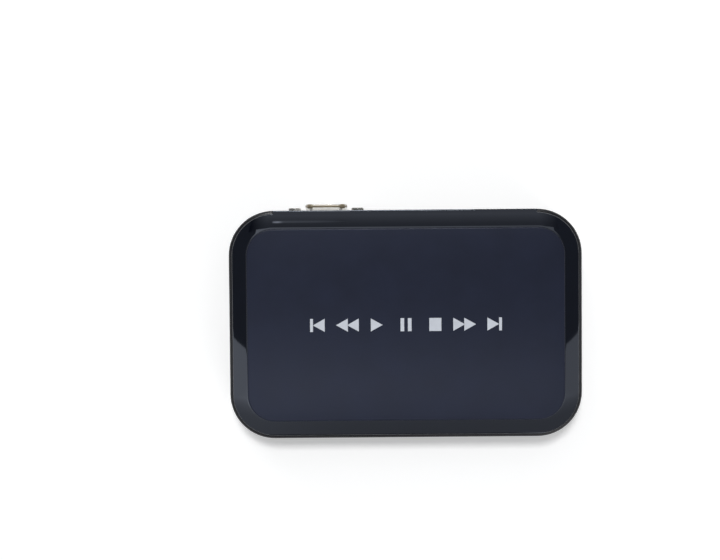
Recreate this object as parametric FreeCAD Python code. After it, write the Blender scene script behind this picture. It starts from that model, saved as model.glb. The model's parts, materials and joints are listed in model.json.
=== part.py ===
"""A small media player whose 2.5-inch hard drive slides out of the right side on a tray.

Millimetres. The player lies on its four feet: +Z is up, +X is the side that the tray leaves by and +Y is the
rear with its sockets. Every part is drawn about the middle of the case, with the feet standing on z = 0, and
save() moves it so that the origin lies under the middle of the whole player, sockets included.
"""

import FreeCAD, Part
import math
import os

Vector = FreeCAD.Vector

# ---- Clearances, and how far a joined form bites into its neighbour or a cut runs past a surface ----
SEAT_GAP = 0.05
NOSE_GAP = 0.1
FIT_GAP = 0.2
SLIDE_GAP = 0.3
BITE = 0.5
PAST = 1.0

# ---- Hard drive, the 2.5-inch size ----
DRIVE_LENGTH = 100.0
DRIVE_WIDTH = 69.85
DRIVE_HEIGHT = 9.5
DRIVE_CORNER = 2.5
DRIVE_LID = 0.5
DRIVE_LID_SHEET = 0.35
DRIVE_LID_INSET = 1.0
DRIVE_HOLE_FROM_PLUG_END = 14.0
DRIVE_HOLE_FROM_FAR_END = 9.4
DRIVE_HOLE_FROM_SIDE = 4.065
DRIVE_SCREW_RADIUS = 1.45
DRIVE_SCREW_HEAD_RADIUS = 2.8
DRIVE_SCREW_REACH = 3.0
DISC_FROM_SIDE = 5.9
SPINDLE_FROM_END = 35.0
ARM_FROM_END = 6.0
ARM_FROM_SIDE = 14.9
POCKET_DEPTH = 1.4
POCKET_FROM_NOTCH = 1.5
POCKET_FROM_FAR_END = 28.5
POCKET_FROM_SIDE = 8.2
DRIVE_BOARD_THICKNESS = 0.8

# ---- Drive plug and its socket ----
PLUG_SIDE_SHIFT = 4.8
SOCKET_WIDTH = 37.0
SOCKET_DEPTH = 7.7
NOSE_WIDTH = 35.2
NOSE_LOW = 0.6
NOSE_TALL = 4.6
NOTCH_DEPTH = 8.0
NOTCH_HEADROOM = 1.2
BLADE_THICKNESS = 1.2
BLADE_REACH = 4.5
BLADES = ((-17.0, -6.2), (-4.2, 16.8))
PLUG_DEPTH = 2.0
RISER_THICKNESS = 1.6
RISER_WIDTH = 42.0
RISER_ABOVE_TRAY = 0.4

# ---- Tray ----
TRAY_SHEET = 1.2
RUNNER = 1.2
TRAY_FLANGE_HEIGHT = 9.0
TRAY_FLANGE_INSET = 1.5
DRIVE_END_GAP = 0.6
TRAY_SLOTS = 5
TRAY_SLOT_WIDTH = 9.0
TRAY_SLOT_PITCH = 15.0
TRAY_SLOT_LENGTH = 46.0
RAIL_RIB = 1.2
RAIL_LIP = 1.0
RAIL_BEHIND_TRAY = 1.0
RAIL_FROM_BEZEL = 0.6
STOP_THICKNESS = 1.3
STOP_WIDTH = 40.0

# ---- Tray bezel ----
BEZEL_DEPTH = 10.2
BEZEL_WALL = 2.0
BEZEL_SKIN = 1.2
BEZEL_RIB = 1.2
BEZEL_RIB_SPACING = 36.0
LATCH_EAR = 1.6
STUD_SPACING = 56.0
STUD_WIDTH = 4.0
STUD_TALL = 2.0
MOUTH_ABOVE_DRIVE = 1.1

# ---- Latch ----
PAD_Y = 0.8
PAD_LENGTH = 7.0
PAD_PROUD = 0.16
PAD_REACH = 6.3
PAD_THICKNESS = 2.25
PAD_ABOVE_HUB = 0.6
PIVOT_BEHIND_FACE = 3.8
PIVOT_ABOVE_TRAY = 7.6
HUB_RADIUS = 1.6
PIN_RADIUS = 0.75
LATCH_CHEEK = 1.2
NECK_TALL = 1.4
HOOK_DEPTH = 0.9
HOOK_THICKNESS = 1.4
HOOK_BEHIND_PIVOT = 4.1
HOOK_CHAMFER = 0.8
HOOK_SWING = 1.9
ARM_LOW = 2.6
ARM_TALL = 0.8
ARM_RISE = 1.2
CATCH_DEPTH = 1.2
SPRING_SHEET = 0.3
SPRING_WIDTH = 3.4
SPRING_TALL = 4.9
SPRING_BEND = 0.4
SPRING_BELOW_PIVOT = 3.0
SPRING_FALL = 1.4

# ---- Main board ----
BOARD_THICKNESS = 1.6
BOARD_INSET = 3.6
BOARD_FROM_PANEL = 1.0
COMPONENT_ROOM = 6.8
PROCESSOR_X = -4.0
PROCESSOR_Y = 2.0
PROCESSOR_SIZE = 19.0
PROCESSOR_TALL = 1.4
HEATSINK_SIZE = 22.0
HEATSINK_TALL = 4.6
HEATSINK_BASE = 1.2
HEATSINK_FIN = 1.0
HEATSINK_FINS = 7
MEMORY_FROM_PROCESSOR = 21.0
MEMORY_SPACING = 12.0
MEMORY_LENGTH = 13.0
MEMORY_WIDTH = 8.0
FLASH_FROM_PROCESSOR = 24.0
FLASH_WIDTH = 12.0
FLASH_LENGTH = 18.4
CHIP_TALL = 1.2
SUPPLY_Y = 19.0
SUPPLY_PITCH = 8.0
DRIVE_SUPPLY_X = -46.0
CAPACITOR_RADIUS = 2.6
CAPACITOR_TALL = 5.4
INDUCTOR_SIZE = 6.4
INDUCTOR_TALL = 3.2
INDUCTOR_CORNER = 1.2
CRYSTAL_FROM_PROCESSOR = 15.0
CRYSTAL_LENGTH = 11.0
CRYSTAL_WIDTH = 4.6
CRYSTAL_TALL = 3.5
CRYSTAL_CORNER = 1.4

# ---- Video socket, 15-way ----
VIDEO_X = -31.0
VIDEO_ABOVE_FLOOR = 1.0
JACKSCREW_SPACING = 24.99
HEX_FLATS = 4.8
HEX_LENGTH = 4.5
SCREW_THREAD_RADIUS = 1.15
SHANK_RADIUS = 1.4
SHANK_LENGTH = 4.0
VIDEO_FLANGE_EAR = 2.905
VIDEO_FLANGE_TALL = 12.5
VIDEO_FLANGE_SHEET = 0.8
SHELL_LENGTH = 16.3
SHELL_TALL = 8.3
SHELL_REACH = 6.0
SHELL_SHEET = 0.5
SHELL_CORNER = 2.4
SHELL_SLOPE = 10.0
TONGUE_SET_BACK = 0.6
VIDEO_BODY_LENGTH = 21.0
VIDEO_BODY_DEPTH = 7.8
VIDEO_BODY_STEP = 2.5

# ---- Other rear sockets ----
DIGITAL_X = 2.0
DIGITAL_WIDTH = 15.0
DIGITAL_TALL = 5.5
DIGITAL_DEPTH = 11.5
DIGITAL_SHEET = 0.4
DIGITAL_CHAMFER = 1.6
DIGITAL_PROUD = 0.2
DIGITAL_BLOCK = 2.5
DIGITAL_TONGUE_WIDTH = 11.4
DIGITAL_TONGUE_TALL = 1.2
PICTURE_JACK_X = 18.0
SOUND_JACK_X = 28.5
JACK_BORE_RADIUS = 1.8
JACK_BORE_LENGTH = 13.0
JACK_NOSE_RADIUS = 2.8
JACK_WIDTH = 7.0
JACK_TALL = 5.6
JACK_DEPTH = 13.0
JACK_PROUD = 0.5
POWER_X = 41.0
POWER_WIDTH = 8.0
POWER_TALL = 6.0
POWER_DEPTH = 11.0
POWER_PROUD = 0.1
POWER_HOLE_RADIUS = 1.9
POWER_HOLE_DEPTH = 9.5
POWER_PIN_RADIUS = 0.65
PIN_SET_BACK = 1.0

# ---- USB socket ----
USB_Y = 14.5
USB_WIDTH = 13.2
USB_TALL = 5.8
USB_DEPTH = 14.0
USB_SHEET = 0.35
USB_SET_BACK = 0.4
USB_FROM_RISER = 2.0
USB_BLOCK = 3.0
USB_TONGUE_INSET = 1.2
USB_TONGUE_TALL = 1.8

# ---- Front window ----
WINDOW_WIDTH = 32.0
WINDOW_TALL = 3.8
WINDOW_ABOVE_BOARD = 0.6
WINDOW_FLANGE = 0.8
WINDOW_FLANGE_LAP = 0.5
WINDOW_FLANGE_EAR = 1.2
RECEIVER_X = -7.0
RECEIVER_FROM_WINDOW = 1.4
RECEIVER_WIDTH = 5.8
RECEIVER_DEPTH = 3.6
RECEIVER_ABOVE_MIDDLE = 2.6
RECEIVER_EYE = 1.9
LAMP_X = 8.0
LAMP_WIDTH = 1.6
LAMP_DEPTH = 0.8
LAMP_TALL = 2.6
PIPE_WIDTH = 2.4
PIPE_LENGTH = 3.6
PIPE_TALL = 3.0

# ---- Case ----
CORNER_RADIUS = 17.5
FOOT_STANDOFF = 1.5
FLOOR = 2.0
WALL = 2.0
FRONT_SPACE = 3.45
BOTTOM_CHAMFER = 1.3
SHOULDER_CHAMFER = 0.5
SEAM_ABOVE_BOARD = 0.6
SNAP_SPACING = 76.0
SNAP_WIDTH = 8.0
SNAP_DROP = 3.2
SNAP_NOSE_TALL = 1.2
SNAP_NOSE_FLAT = 0.5
SNAP_NOSE = 0.6
SNAP_POCKET = 0.7
VENT_X = 8.0
VENT_COUNT = 8
VENT_PITCH = 4.2
VENT_WIDTH = 1.8
VENT_LENGTH = 20.0
VENT_ROW_GAP = 6.0

# ---- Cover and its plate ----
COVER_INSET = 1.2
RIM_GAP = 0.1
COVER_WALL = 1.8
COVER_EDGE_CHAMFER = 0.5
BAND_INNER_SLOPE = 12.0
BAND_OUTER_SLOPE = 20.0
PLATE_RIM = 0.25
CEILING = 1.3
LIP_HEIGHT = 1.4
LIP_THICKNESS = 0.8
LIP_GAP = 0.15
PLATE_INSET = 7.1
PLATE_SEAT = 0.8
PLATE_PROUD = 0.8
PLATE_EDGE_CHAMFER = 0.35
PLATE_GAP = 0.08
POST_FROM_SIDE = 17.0
POST_FROM_FRONT = 14.0
POST_WIDTH = 4.0

# ---- Rear recess and panel ----
RECESS_FROM_SIDE = 17.0
RECESS_DEPTH = 3.5
PANEL_THICKNESS = 1.5
PANEL_GROOVE = 1.2
PANEL_FOOT = 0.5
PANEL_BELOW_CEILING = 0.4
PANEL_LAND = 0.6
CHEEK = 2.0

# ---- Fasteners and feet ----
BOSS_RADIUS = 2.9
BOSS_FROM_REAR = 7.6
CASE_SCREW_RADIUS = 1.25
CASE_SCREW_HEAD_RADIUS = 2.3
CASE_SCREW_HEAD = 1.2
CASE_SCREW_REACH = 5.5
FOOT_WIDTH = 9.0
FOOT_TAPER = 0.8
FOOT_FROM_SIDE = 19.0
FOOT_FROM_END = 14.0

# ---- The case's size, which follows from the drive and from what stands round it ----
SOCKET_ROOM = USB_SET_BACK + USB_DEPTH + USB_FROM_RISER + RISER_THICKNESS + SOCKET_DEPTH + SLIDE_GAP
LATCH_ROOM = DRIVE_END_GAP + TRAY_SHEET + BEZEL_DEPTH
CASE_WIDTH = SOCKET_ROOM + DRIVE_LENGTH + LATCH_ROOM
FRONT_ROOM = WALL + FRONT_SPACE + SLIDE_GAP + RUNNER
REAR_ROOM = 2 * FIT_GAP + VIDEO_BODY_DEPTH + VIDEO_FLANGE_SHEET + RECESS_DEPTH
CASE_DEPTH = FRONT_ROOM + DRIVE_WIDTH + REAR_ROOM
HALF_WIDTH = CASE_WIDTH / 2
HALF_DEPTH = CASE_DEPTH / 2

# ---- Levels ----
FLOOR_TOP = FOOT_STANDOFF + FLOOR
TRAY_BOTTOM = FLOOR_TOP + SLIDE_GAP
TRAY_TOP = TRAY_BOTTOM + TRAY_SHEET
DRIVE_TOP = TRAY_TOP + DRIVE_HEIGHT
MOUTH_TOP = DRIVE_TOP + MOUTH_ABOVE_DRIVE
BEZEL_TOP = MOUTH_TOP - SLIDE_GAP
BOARD_BOTTOM = FLOOR_TOP + VIDEO_ABOVE_FLOOR + VIDEO_FLANGE_TALL
BOARD_TOP = BOARD_BOTTOM + BOARD_THICKNESS
SEAM = BOARD_BOTTOM + SEAM_ABOVE_BOARD
CEILING_Z = BOARD_TOP + COMPONENT_ROOM
PANEL_TOP = CEILING_Z - PANEL_BELOW_CEILING
PLATE_SEAT_Z = CEILING_Z + CEILING
COVER_TOP = PLATE_SEAT_Z + PLATE_SEAT
PLATE_TOP = COVER_TOP + PLATE_PROUD
PIVOT_Z = TRAY_BOTTOM + PIVOT_ABOVE_TRAY
SHELL_Z = BOARD_BOTTOM - VIDEO_FLANGE_TALL / 2
WINDOW_LOW = BOARD_TOP + WINDOW_ABOVE_BOARD
WINDOW_HIGH = WINDOW_LOW + WINDOW_TALL
BLADE_LOW = TRAY_TOP + NOSE_LOW + (NOSE_TALL - BLADE_THICKNESS) / 2
JACK_Z = BOARD_TOP + JACK_TALL / 2 + NOSE_GAP
POWER_Z = BOARD_TOP + POWER_TALL / 2

# ---- Planes along Y, from the rear panel forwards ----
PANEL_FACE = HALF_DEPTH - RECESS_DEPTH
PANEL_BACK = PANEL_FACE - PANEL_THICKNESS
VIDEO_BODY_BACK = PANEL_FACE - VIDEO_FLANGE_SHEET
DRIVE_Y = VIDEO_BODY_BACK - VIDEO_BODY_DEPTH - 2 * FIT_GAP - DRIVE_WIDTH / 2
PLUG_Y = DRIVE_Y + PLUG_SIDE_SHIFT
RUNNER_HALF = DRIVE_WIDTH / 2 + RUNNER
MOUTH_HALF = RUNNER_HALF + SLIDE_GAP
WINDOW_BACK = COVER_INSET + COVER_WALL + WINDOW_FLANGE - HALF_DEPTH
SHELL_FACE = PANEL_FACE + SHELL_REACH
ORIGIN_Y = (max(SHELL_FACE, HALF_DEPTH) - HALF_DEPTH) / 2

# ---- Planes along X, from the tray's bezel inwards ----
DRIVE_END_X = HALF_WIDTH - LATCH_ROOM
DRIVE_START_X = DRIVE_END_X - DRIVE_LENGTH
TRAY_FLANGE_X = DRIVE_END_X + DRIVE_END_GAP
BEZEL_BACK = TRAY_FLANGE_X + TRAY_SHEET
PIVOT_X = HALF_WIDTH - PIVOT_BEHIND_FACE
HOOK_BACK = PIVOT_X - HOOK_BEHIND_PIVOT - HOOK_THICKNESS / 2
HOOK_FRONT = HOOK_BACK + HOOK_THICKNESS
PAD_FACE = HALF_WIDTH + PAD_PROUD
PAD_BACK = PAD_FACE - PAD_THICKNESS
RISER_FACE = DRIVE_START_X - SLIDE_GAP - SOCKET_DEPTH
NOSE_END = DRIVE_START_X + NOTCH_DEPTH - PLUG_DEPTH - SLIDE_GAP

# ---- Widths and places that follow ----
RECESS_WIDTH = CASE_WIDTH - 2 * RECESS_FROM_SIDE
BOSS_FROM_SIDE = RECESS_FROM_SIDE - CHEEK - BOSS_RADIUS - NOSE_GAP
VIDEO_FLANGE_LENGTH = JACKSCREW_SPACING + 2 * VIDEO_FLANGE_EAR
VIDEO_BODY_TALL = VIDEO_FLANGE_TALL - VIDEO_BODY_STEP
BOSSES = tuple((side * (HALF_WIDTH - BOSS_FROM_SIDE), HALF_DEPTH - BOSS_FROM_REAR) for side in (-1, 1))
DRIVE_HOLES = tuple(
    (x, DRIVE_Y + side * (DRIVE_WIDTH / 2 - DRIVE_HOLE_FROM_SIDE))
    for x in (DRIVE_START_X + DRIVE_HOLE_FROM_PLUG_END, DRIVE_END_X - DRIVE_HOLE_FROM_FAR_END)
    for side in (-1, 1)
)


# ---- Shapes that many parts are made from ----
def block(x, y, z):
    """A box from its spans along X, Y and Z."""
    return Part.makeBox(x[1] - x[0], y[1] - y[0], z[1] - z[0], Vector(x[0], y[0], z[0]))


def rod(radius, start, end):
    """A round bar from one point to another."""
    start = Vector(*start)
    along = Vector(*end) - start
    return Part.makeCylinder(radius, along.Length, start, along)


def cone(radius_start, radius_end, start, end):
    """A cone's frustum from one point to another."""
    start = Vector(*start)
    along = Vector(*end) - start
    return Part.makeCone(radius_start, radius_end, along.Length, start, along)


def joined(shapes):
    """One solid from shapes that touch or overlap."""
    shapes = list(shapes)
    return shapes[0].multiFuse(shapes[1:]).removeSplitter()


def group(shapes):
    """Separate solids that share a node."""
    return Part.makeCompound(list(shapes))


def outline(path, place):
    """A flat face. A step of its path is a point, or a pair: an arc through the first to the second."""
    edges = []
    here = path[0]
    for step in list(path[1:]) + [path[0]]:
        if isinstance(step[0], tuple):
            via, end = step
            edges.append(Part.Arc(place(here), place(via), place(end)).toShape())
        else:
            end = step
            edges.append(Part.makeLine(place(here), place(end)))
        here = end
    return Part.Face(Part.Wire(edges))


def on_circle(centre, radius, degrees):
    """The point of a circle at an angle."""
    angle = math.radians(degrees)
    return (centre[0] + radius * math.cos(angle), centre[1] + radius * math.sin(angle))


def turn(centre, radius, start, end):
    """The arc step from one angle of a circle to another."""
    return (on_circle(centre, radius, (start + end) / 2), on_circle(centre, radius, end))


def around_case(path):
    """A solid with the case's rounded outline. Its path is the half section out from a corner's centre."""
    cx = HALF_WIDTH - CORNER_RADIUS
    cy = HALF_DEPTH - CORNER_RADIUS
    section = outline(path, lambda p: Vector(p[0], 0, p[1]))
    up = Vector(0, 0, 1)
    pieces = [block((-cx, cx), (-cy, cy), (path[0][1], path[-1][1]))]
    corners = ((cx, -cy), (cx, cy), (-cx, cy), (-cx, -cy))
    sides = (Vector(0, 2 * cy, 0), Vector(-2 * cx, 0, 0), Vector(0, -2 * cy, 0), Vector(2 * cx, 0, 0))
    for quarter, (corner, side) in enumerate(zip(corners, sides)):
        centre = Vector(corner[0], corner[1], 0)
        start = section.copy()
        start.rotate(Vector(), up, 90 * quarter - 90)
        start.translate(centre)
        pieces.append(start.revolve(centre, up, 90))
        end = section.copy()
        end.rotate(Vector(), up, 90 * quarter)
        end.translate(centre)
        pieces.append(end.extrude(side))
    return joined(pieces)


def case_prism(inset, low, high):
    """A plain prism of the case's outline, drawn in by an inset."""
    edge = CORNER_RADIUS - inset
    return around_case([(0, low), (edge, low), (edge, high), (0, high)])


def rounded_plate(x, y, z, radius):
    """A plate with four rounded corners."""
    plate = block(x, y, z)
    upright = [e for e in plate.Edges if abs(e.Vertexes[0].Z - e.Vertexes[1].Z) > (z[1] - z[0]) / 2]
    return plate.makeFillet(radius, upright)


def centred(middle, width):
    """The span of a width about its middle."""
    return (middle - width / 2, middle + width / 2)


def clipped_plate(x, y, z, clip):
    """A plate with its four corners cut off."""
    path = [(x[0] + clip, y[0]), (x[1] - clip, y[0]), (x[1], y[0] + clip), (x[1], y[1] - clip),
            (x[1] - clip, y[1]), (x[0] + clip, y[1]), (x[0], y[1] - clip), (x[0], y[0] + clip)]
    return outline(path, lambda p: Vector(p[0], p[1], z[0])).extrude(Vector(0, 0, z[1] - z[0]))


# ---- Case ----
def case_outside():
    """The bottom case's outer form, chamfered under its floor and at the shoulder beside the cover's band."""
    edge = CORNER_RADIUS
    return around_case([
        (0, FOOT_STANDOFF),
        (edge - BOTTOM_CHAMFER, FOOT_STANDOFF),
        (edge, FOOT_STANDOFF + BOTTOM_CHAMFER),
        (edge, PANEL_TOP - SHOULDER_CHAMFER),
        (edge - SHOULDER_CHAMFER, PANEL_TOP),
        (0, PANEL_TOP),
    ])


def mouth():
    """The opening in the right side that the tray slides through."""
    return block((TRAY_FLANGE_X, HALF_WIDTH + PAST), centred(DRIVE_Y, 2 * MOUTH_HALF), (FLOOR_TOP, MOUTH_TOP))


def rails():
    """Two ribs whose lips hold the tray's runners down, and a stop behind the tray."""
    x = (DRIVE_START_X - RAIL_BEHIND_TRAY, BEZEL_BACK - RAIL_FROM_BEZEL)
    low = FLOOR_TOP - BITE
    lip = (TRAY_TOP + SLIDE_GAP, TRAY_TOP + SLIDE_GAP + RAIL_LIP)
    front = DRIVE_Y - MOUTH_HALF
    rear = DRIVE_Y + MOUTH_HALF
    reach = RUNNER - FIT_GAP
    return [
        block(x, (front - RAIL_RIB, front), (low, lip[1])),
        block(x, (front - BITE, front + reach), lip),
        block(x, (rear, rear + RAIL_RIB), (low, lip[1])),
        block(x, (rear - reach, rear + BITE), lip),
        block((DRIVE_START_X - SLIDE_GAP - STOP_THICKNESS, DRIVE_START_X - SLIDE_GAP),
              centred(DRIVE_Y, STOP_WIDTH), (low, TRAY_TOP - FIT_GAP)),
    ]


def cheeks(low, high):
    """The two short walls at the ends of the rear recess."""
    inner = RECESS_WIDTH / 2
    y = (PANEL_BACK - PANEL_LAND, HALF_DEPTH)
    return [block(sorted((side * inner, side * (inner + CHEEK))), y, (low, high)) for side in (-1, 1)]


def recess(low, high):
    """The room between the cheeks, from behind the panel outwards."""
    y = (PANEL_BACK - PANEL_LAND - FIT_GAP, HALF_DEPTH + PAST)
    return block(centred(0, RECESS_WIDTH), y, (low, high))


def panel_groove(low, high):
    """The room for the rear panel's edges."""
    return block(centred(0, RECESS_WIDTH + 2 * PANEL_GROOVE + 2 * SEAT_GAP),
                 (PANEL_BACK - SEAT_GAP, PANEL_FACE + SEAT_GAP), (low, high))


def boss(place, low, high):
    """A round screw boss."""
    return rod(BOSS_RADIUS, (*place, low), (*place, high))


def posts(low, high):
    """Two square posts that hold the board's front corners."""
    x = HALF_WIDTH - POST_FROM_SIDE
    y = centred(POST_FROM_FRONT - HALF_DEPTH, POST_WIDTH)
    return [block(centred(side * x, POST_WIDTH), y, (low, high)) for side in (-1, 1)]


def snap_places():
    """The spans along X of the cover's two snap tabs, which hook into the front wall."""
    return [centred(side * SNAP_SPACING / 2, SNAP_WIDTH) for side in (-1, 1)]


def snap_pockets():
    """The pockets in the front wall that the snap tabs hook into."""
    y = (WALL - SNAP_POCKET - HALF_DEPTH, WALL + NOSE_GAP - HALF_DEPTH)
    z = (SEAM - SNAP_DROP - FIT_GAP, SEAM - SNAP_DROP + SNAP_NOSE_TALL + FIT_GAP)
    return [block((x[0] - FIT_GAP, x[1] + FIT_GAP), y, z) for x in snap_places()]


def vents():
    """Two rows of air slots under the drive."""
    slots = []
    for side in (-1, 1):
        y = centred(DRIVE_Y + side * (VENT_LENGTH + VENT_ROW_GAP) / 2, VENT_LENGTH)
        for count in range(VENT_COUNT):
            x = VENT_X + (count - (VENT_COUNT - 1) / 2) * VENT_PITCH
            slots.append(block(centred(x, VENT_WIDTH), y, (FOOT_STANDOFF - PAST, FLOOR_TOP + PAST)))
    return slots


def catch():
    """The pocket in the floor that the latch's hook drops into."""
    return block((HOOK_BACK - HOOK_SWING, HOOK_FRONT + SLIDE_GAP), centred(PAD_Y, PAD_LENGTH + 2 * SLIDE_GAP),
                 (FLOOR_TOP - CATCH_DEPTH, FLOOR_TOP + NOSE_GAP))


def window_opening():
    """The opening in the front rim for the cover's window to look out of."""
    return block(centred(0, WINDOW_WIDTH + 2 * FIT_GAP), (-HALF_DEPTH - PAST, WALL - HALF_DEPTH),
                 (WINDOW_LOW - FIT_GAP, WINDOW_HIGH + FIT_GAP))


def usb_opening():
    """The opening in the left side for the USB socket."""
    return block((-HALF_WIDTH - PAST, WALL + PAST - HALF_WIDTH), centred(USB_Y, USB_WIDTH + 2 * FIT_GAP),
                 (BOARD_BOTTOM - USB_TALL - FIT_GAP, BOARD_BOTTOM + FIT_GAP))


def bottom_case():
    """The deep shell: walls, a thin rim round the cover, the tray's rails, screw bosses and openings."""
    outside = case_outside()
    rim_room = case_prism(COVER_INSET - RIM_GAP, SEAM, PANEL_TOP + PAST)
    shell = outside.cut([case_prism(WALL, FLOOR_TOP, SEAM + BITE), rim_room])
    inner = [cheek.common(outside) for cheek in cheeks(FLOOR_TOP - BITE, SEAM)]
    inner += [boss(place, FLOOR_TOP - BITE, BOARD_BOTTOM) for place in BOSSES]
    head_room = FOOT_STANDOFF + CASE_SCREW_HEAD + FIT_GAP
    cuts = [
        recess(FLOOR_TOP, PANEL_TOP + PAST),
        panel_groove(FLOOR_TOP - PANEL_FOOT, SEAM + PAST),
        mouth(),
        catch(),
        window_opening(),
        usb_opening(),
    ]
    cuts += [rod(CASE_SCREW_RADIUS + SEAT_GAP, (*place, 0), (*place, SEAM + PAST)) for place in BOSSES]
    cuts += [rod(CASE_SCREW_HEAD_RADIUS + FIT_GAP, (*place, 0), (*place, head_room)) for place in BOSSES]
    cuts += snap_pockets() + vents()
    return joined([joined([shell] + inner).cut(cuts)] + rails())


# ---- Cover ----
def band_path():
    """The cover's band from its outer lower end inwards: steeper outside, flatter by the plate."""
    edge = CORNER_RADIUS - COVER_INSET
    inner = CORNER_RADIUS - PLATE_INSET + PLATE_RIM
    outer = edge - COVER_EDGE_CHAMFER / 2
    middle = (inner + outer) / 2
    crown = COVER_TOP - (middle - inner) * math.tan(math.radians(BAND_INNER_SLOPE))
    low = crown - (outer - middle) * math.tan(math.radians(BAND_OUTER_SLOPE))
    return [(edge, low - COVER_EDGE_CHAMFER), (outer, low), (middle, crown), (inner, COVER_TOP)]


def cover_outside():
    """The cover's outer form: a skirt inside the case's rim, a chamfered edge and the crowned band."""
    edge = CORNER_RADIUS - COVER_INSET
    return around_case([(0, SEAM), (edge, SEAM)] + band_path() + [(0, COVER_TOP)])


def brow():
    """The band's wider part over the rear recess, which reaches out to the rim's outline."""
    outer, low = band_path()[1]
    root = HALF_DEPTH - COVER_INSET - BITE
    start = HALF_DEPTH - CORNER_RADIUS + outer
    fall = (HALF_DEPTH - start) * math.tan(math.radians(BAND_OUTER_SLOPE))
    path = [(root, PANEL_TOP), (HALF_DEPTH, PANEL_TOP), (HALF_DEPTH, low - fall), (start, low), (root, low)]
    half = HALF_WIDTH - CORNER_RADIUS
    face = outline(path, lambda p: Vector(-half, p[0], p[1]))
    return face.extrude(Vector(2 * half, 0, 0))


def cover_lip():
    """Three thin ribs inside the case's walls that line the cover up."""
    straight_x = HALF_WIDTH - CORNER_RADIUS
    straight_y = HALF_DEPTH - CORNER_RADIUS
    outer = WALL + LIP_GAP
    inner = outer + LIP_THICKNESS
    z = (SEAM - LIP_HEIGHT, SEAM + BITE)
    usb_side = USB_Y - USB_WIDTH / 2 - LIP_THICKNESS
    return [
        block((-straight_x, straight_x), (outer - HALF_DEPTH, inner - HALF_DEPTH), z),
        block((HALF_WIDTH - inner, HALF_WIDTH - outer), (-straight_y, straight_y), z),
        block((outer - HALF_WIDTH, inner - HALF_WIDTH), (-straight_y, usb_side), z),
    ]


def snap_tabs():
    """Two hooks that hold the cover down at the front, where no screw fits."""
    back = WALL + LIP_GAP - HALF_DEPTH
    middle = back + LIP_THICKNESS / 2
    low = SEAM - SNAP_DROP
    nose_path = [(middle, low), (middle, low + SNAP_NOSE_TALL), (back - SNAP_NOSE, low + SNAP_NOSE_TALL),
                 (back - SNAP_NOSE, low + SNAP_NOSE_FLAT)]
    tabs = []
    for x in snap_places():
        nose = outline(nose_path, lambda p: Vector(x[0], p[0], p[1])).extrude(Vector(x[1] - x[0], 0, 0))
        tabs += [block(x, (back, back + LIP_THICKNESS), (low, SEAM + BITE)), nose]
    return tabs


def top_cover():
    """The gloss cover: skirt, band, seat for the plate, screw bosses, posts, lip ribs and snap tabs."""
    outside = cover_outside()
    shell = outside.cut(case_prism(COVER_INSET + COVER_WALL, SEAM - PAST, CEILING_Z))
    root = CEILING_Z + BITE
    inner = [cheek.common(outside) for cheek in cheeks(SEAM, root)]
    inner.append(block(centred(0, RECESS_WIDTH + 2 * CHEEK),
                       (PANEL_BACK - PANEL_LAND, HALF_DEPTH - COVER_INSET - PAST), (PANEL_TOP, root)))
    inner += [boss(place, BOARD_TOP, root) for place in BOSSES]
    inner += posts(BOARD_TOP, root)
    bore_end = SEAM + CASE_SCREW_REACH + BITE
    window_y = (-HALF_DEPTH, COVER_INSET + COVER_WALL + PAST - HALF_DEPTH)
    window_z = (WINDOW_LOW - SEAT_GAP, WINDOW_HIGH + SEAT_GAP)
    cuts = [
        recess(SEAM - PAST, PANEL_TOP),
        panel_groove(SEAM - PAST, PANEL_TOP + SEAT_GAP),
        case_prism(PLATE_INSET - PLATE_GAP, PLATE_SEAT_Z, COVER_TOP + PAST),
        block(centred(0, WINDOW_WIDTH + 2 * SEAT_GAP), window_y, window_z),
    ]
    cuts += [rod(CASE_SCREW_RADIUS + SEAT_GAP, (*place, SEAM - PAST), (*place, bore_end)) for place in BOSSES]
    return joined([joined([shell] + inner + cover_lip() + snap_tabs()).cut(cuts), brow()])


def top_plate():
    """The raised satin plate in the cover's seat."""
    edge = CORNER_RADIUS - PLATE_INSET
    return around_case([
        (0, PLATE_SEAT_Z),
        (edge, PLATE_SEAT_Z),
        (edge, PLATE_TOP - PLATE_EDGE_CHAMFER),
        (edge - PLATE_EDGE_CHAMFER, PLATE_TOP),
        (0, PLATE_TOP),
    ])


def rear_panel():
    """The plate that the sockets look out of."""
    through = (PANEL_BACK - PAST, PANEL_FACE + PAST)
    panel = block(centred(0, RECESS_WIDTH + 2 * PANEL_GROOVE), (PANEL_BACK, PANEL_FACE),
                  (FLOOR_TOP - PANEL_FOOT, PANEL_TOP))
    cuts = [
        block(centred(VIDEO_X, VIDEO_FLANGE_LENGTH + 2 * FIT_GAP), through,
              (BOARD_BOTTOM - VIDEO_FLANGE_TALL - FIT_GAP, BOARD_BOTTOM + FIT_GAP)),
        block(centred(DIGITAL_X, DIGITAL_WIDTH + 2 * FIT_GAP), through,
              (BOARD_TOP - FIT_GAP, BOARD_TOP + DIGITAL_TALL + FIT_GAP)),
    ]
    for x, z in ((PICTURE_JACK_X, JACK_Z), (SOUND_JACK_X, JACK_Z), (POWER_X, POWER_Z)):
        cuts.append(rod(JACK_NOSE_RADIUS + NOSE_GAP, (x, through[0], z), (x, through[1], z)))
    return panel.cut(cuts)


def rubber_feet():
    """Four tapered square feet glued under the floor."""
    feet = []
    for x in (FOOT_FROM_SIDE - HALF_WIDTH, HALF_WIDTH - FOOT_FROM_SIDE):
        for y in (FOOT_FROM_END - HALF_DEPTH, HALF_DEPTH - FOOT_FROM_END):
            sections = []
            for width, z in ((FOOT_WIDTH - 2 * FOOT_TAPER, 0), (FOOT_WIDTH, FOOT_STANDOFF)):
                (x0, x1), (y0, y1) = centred(x, width), centred(y, width)
                corners = [Vector(x0, y0, z), Vector(x1, y0, z), Vector(x1, y1, z), Vector(x0, y1, z)]
                sections.append(Part.makePolygon(corners + corners[:1]))
            feet.append(Part.makeLoft(sections, True, True))
    return group(feet)


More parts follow.
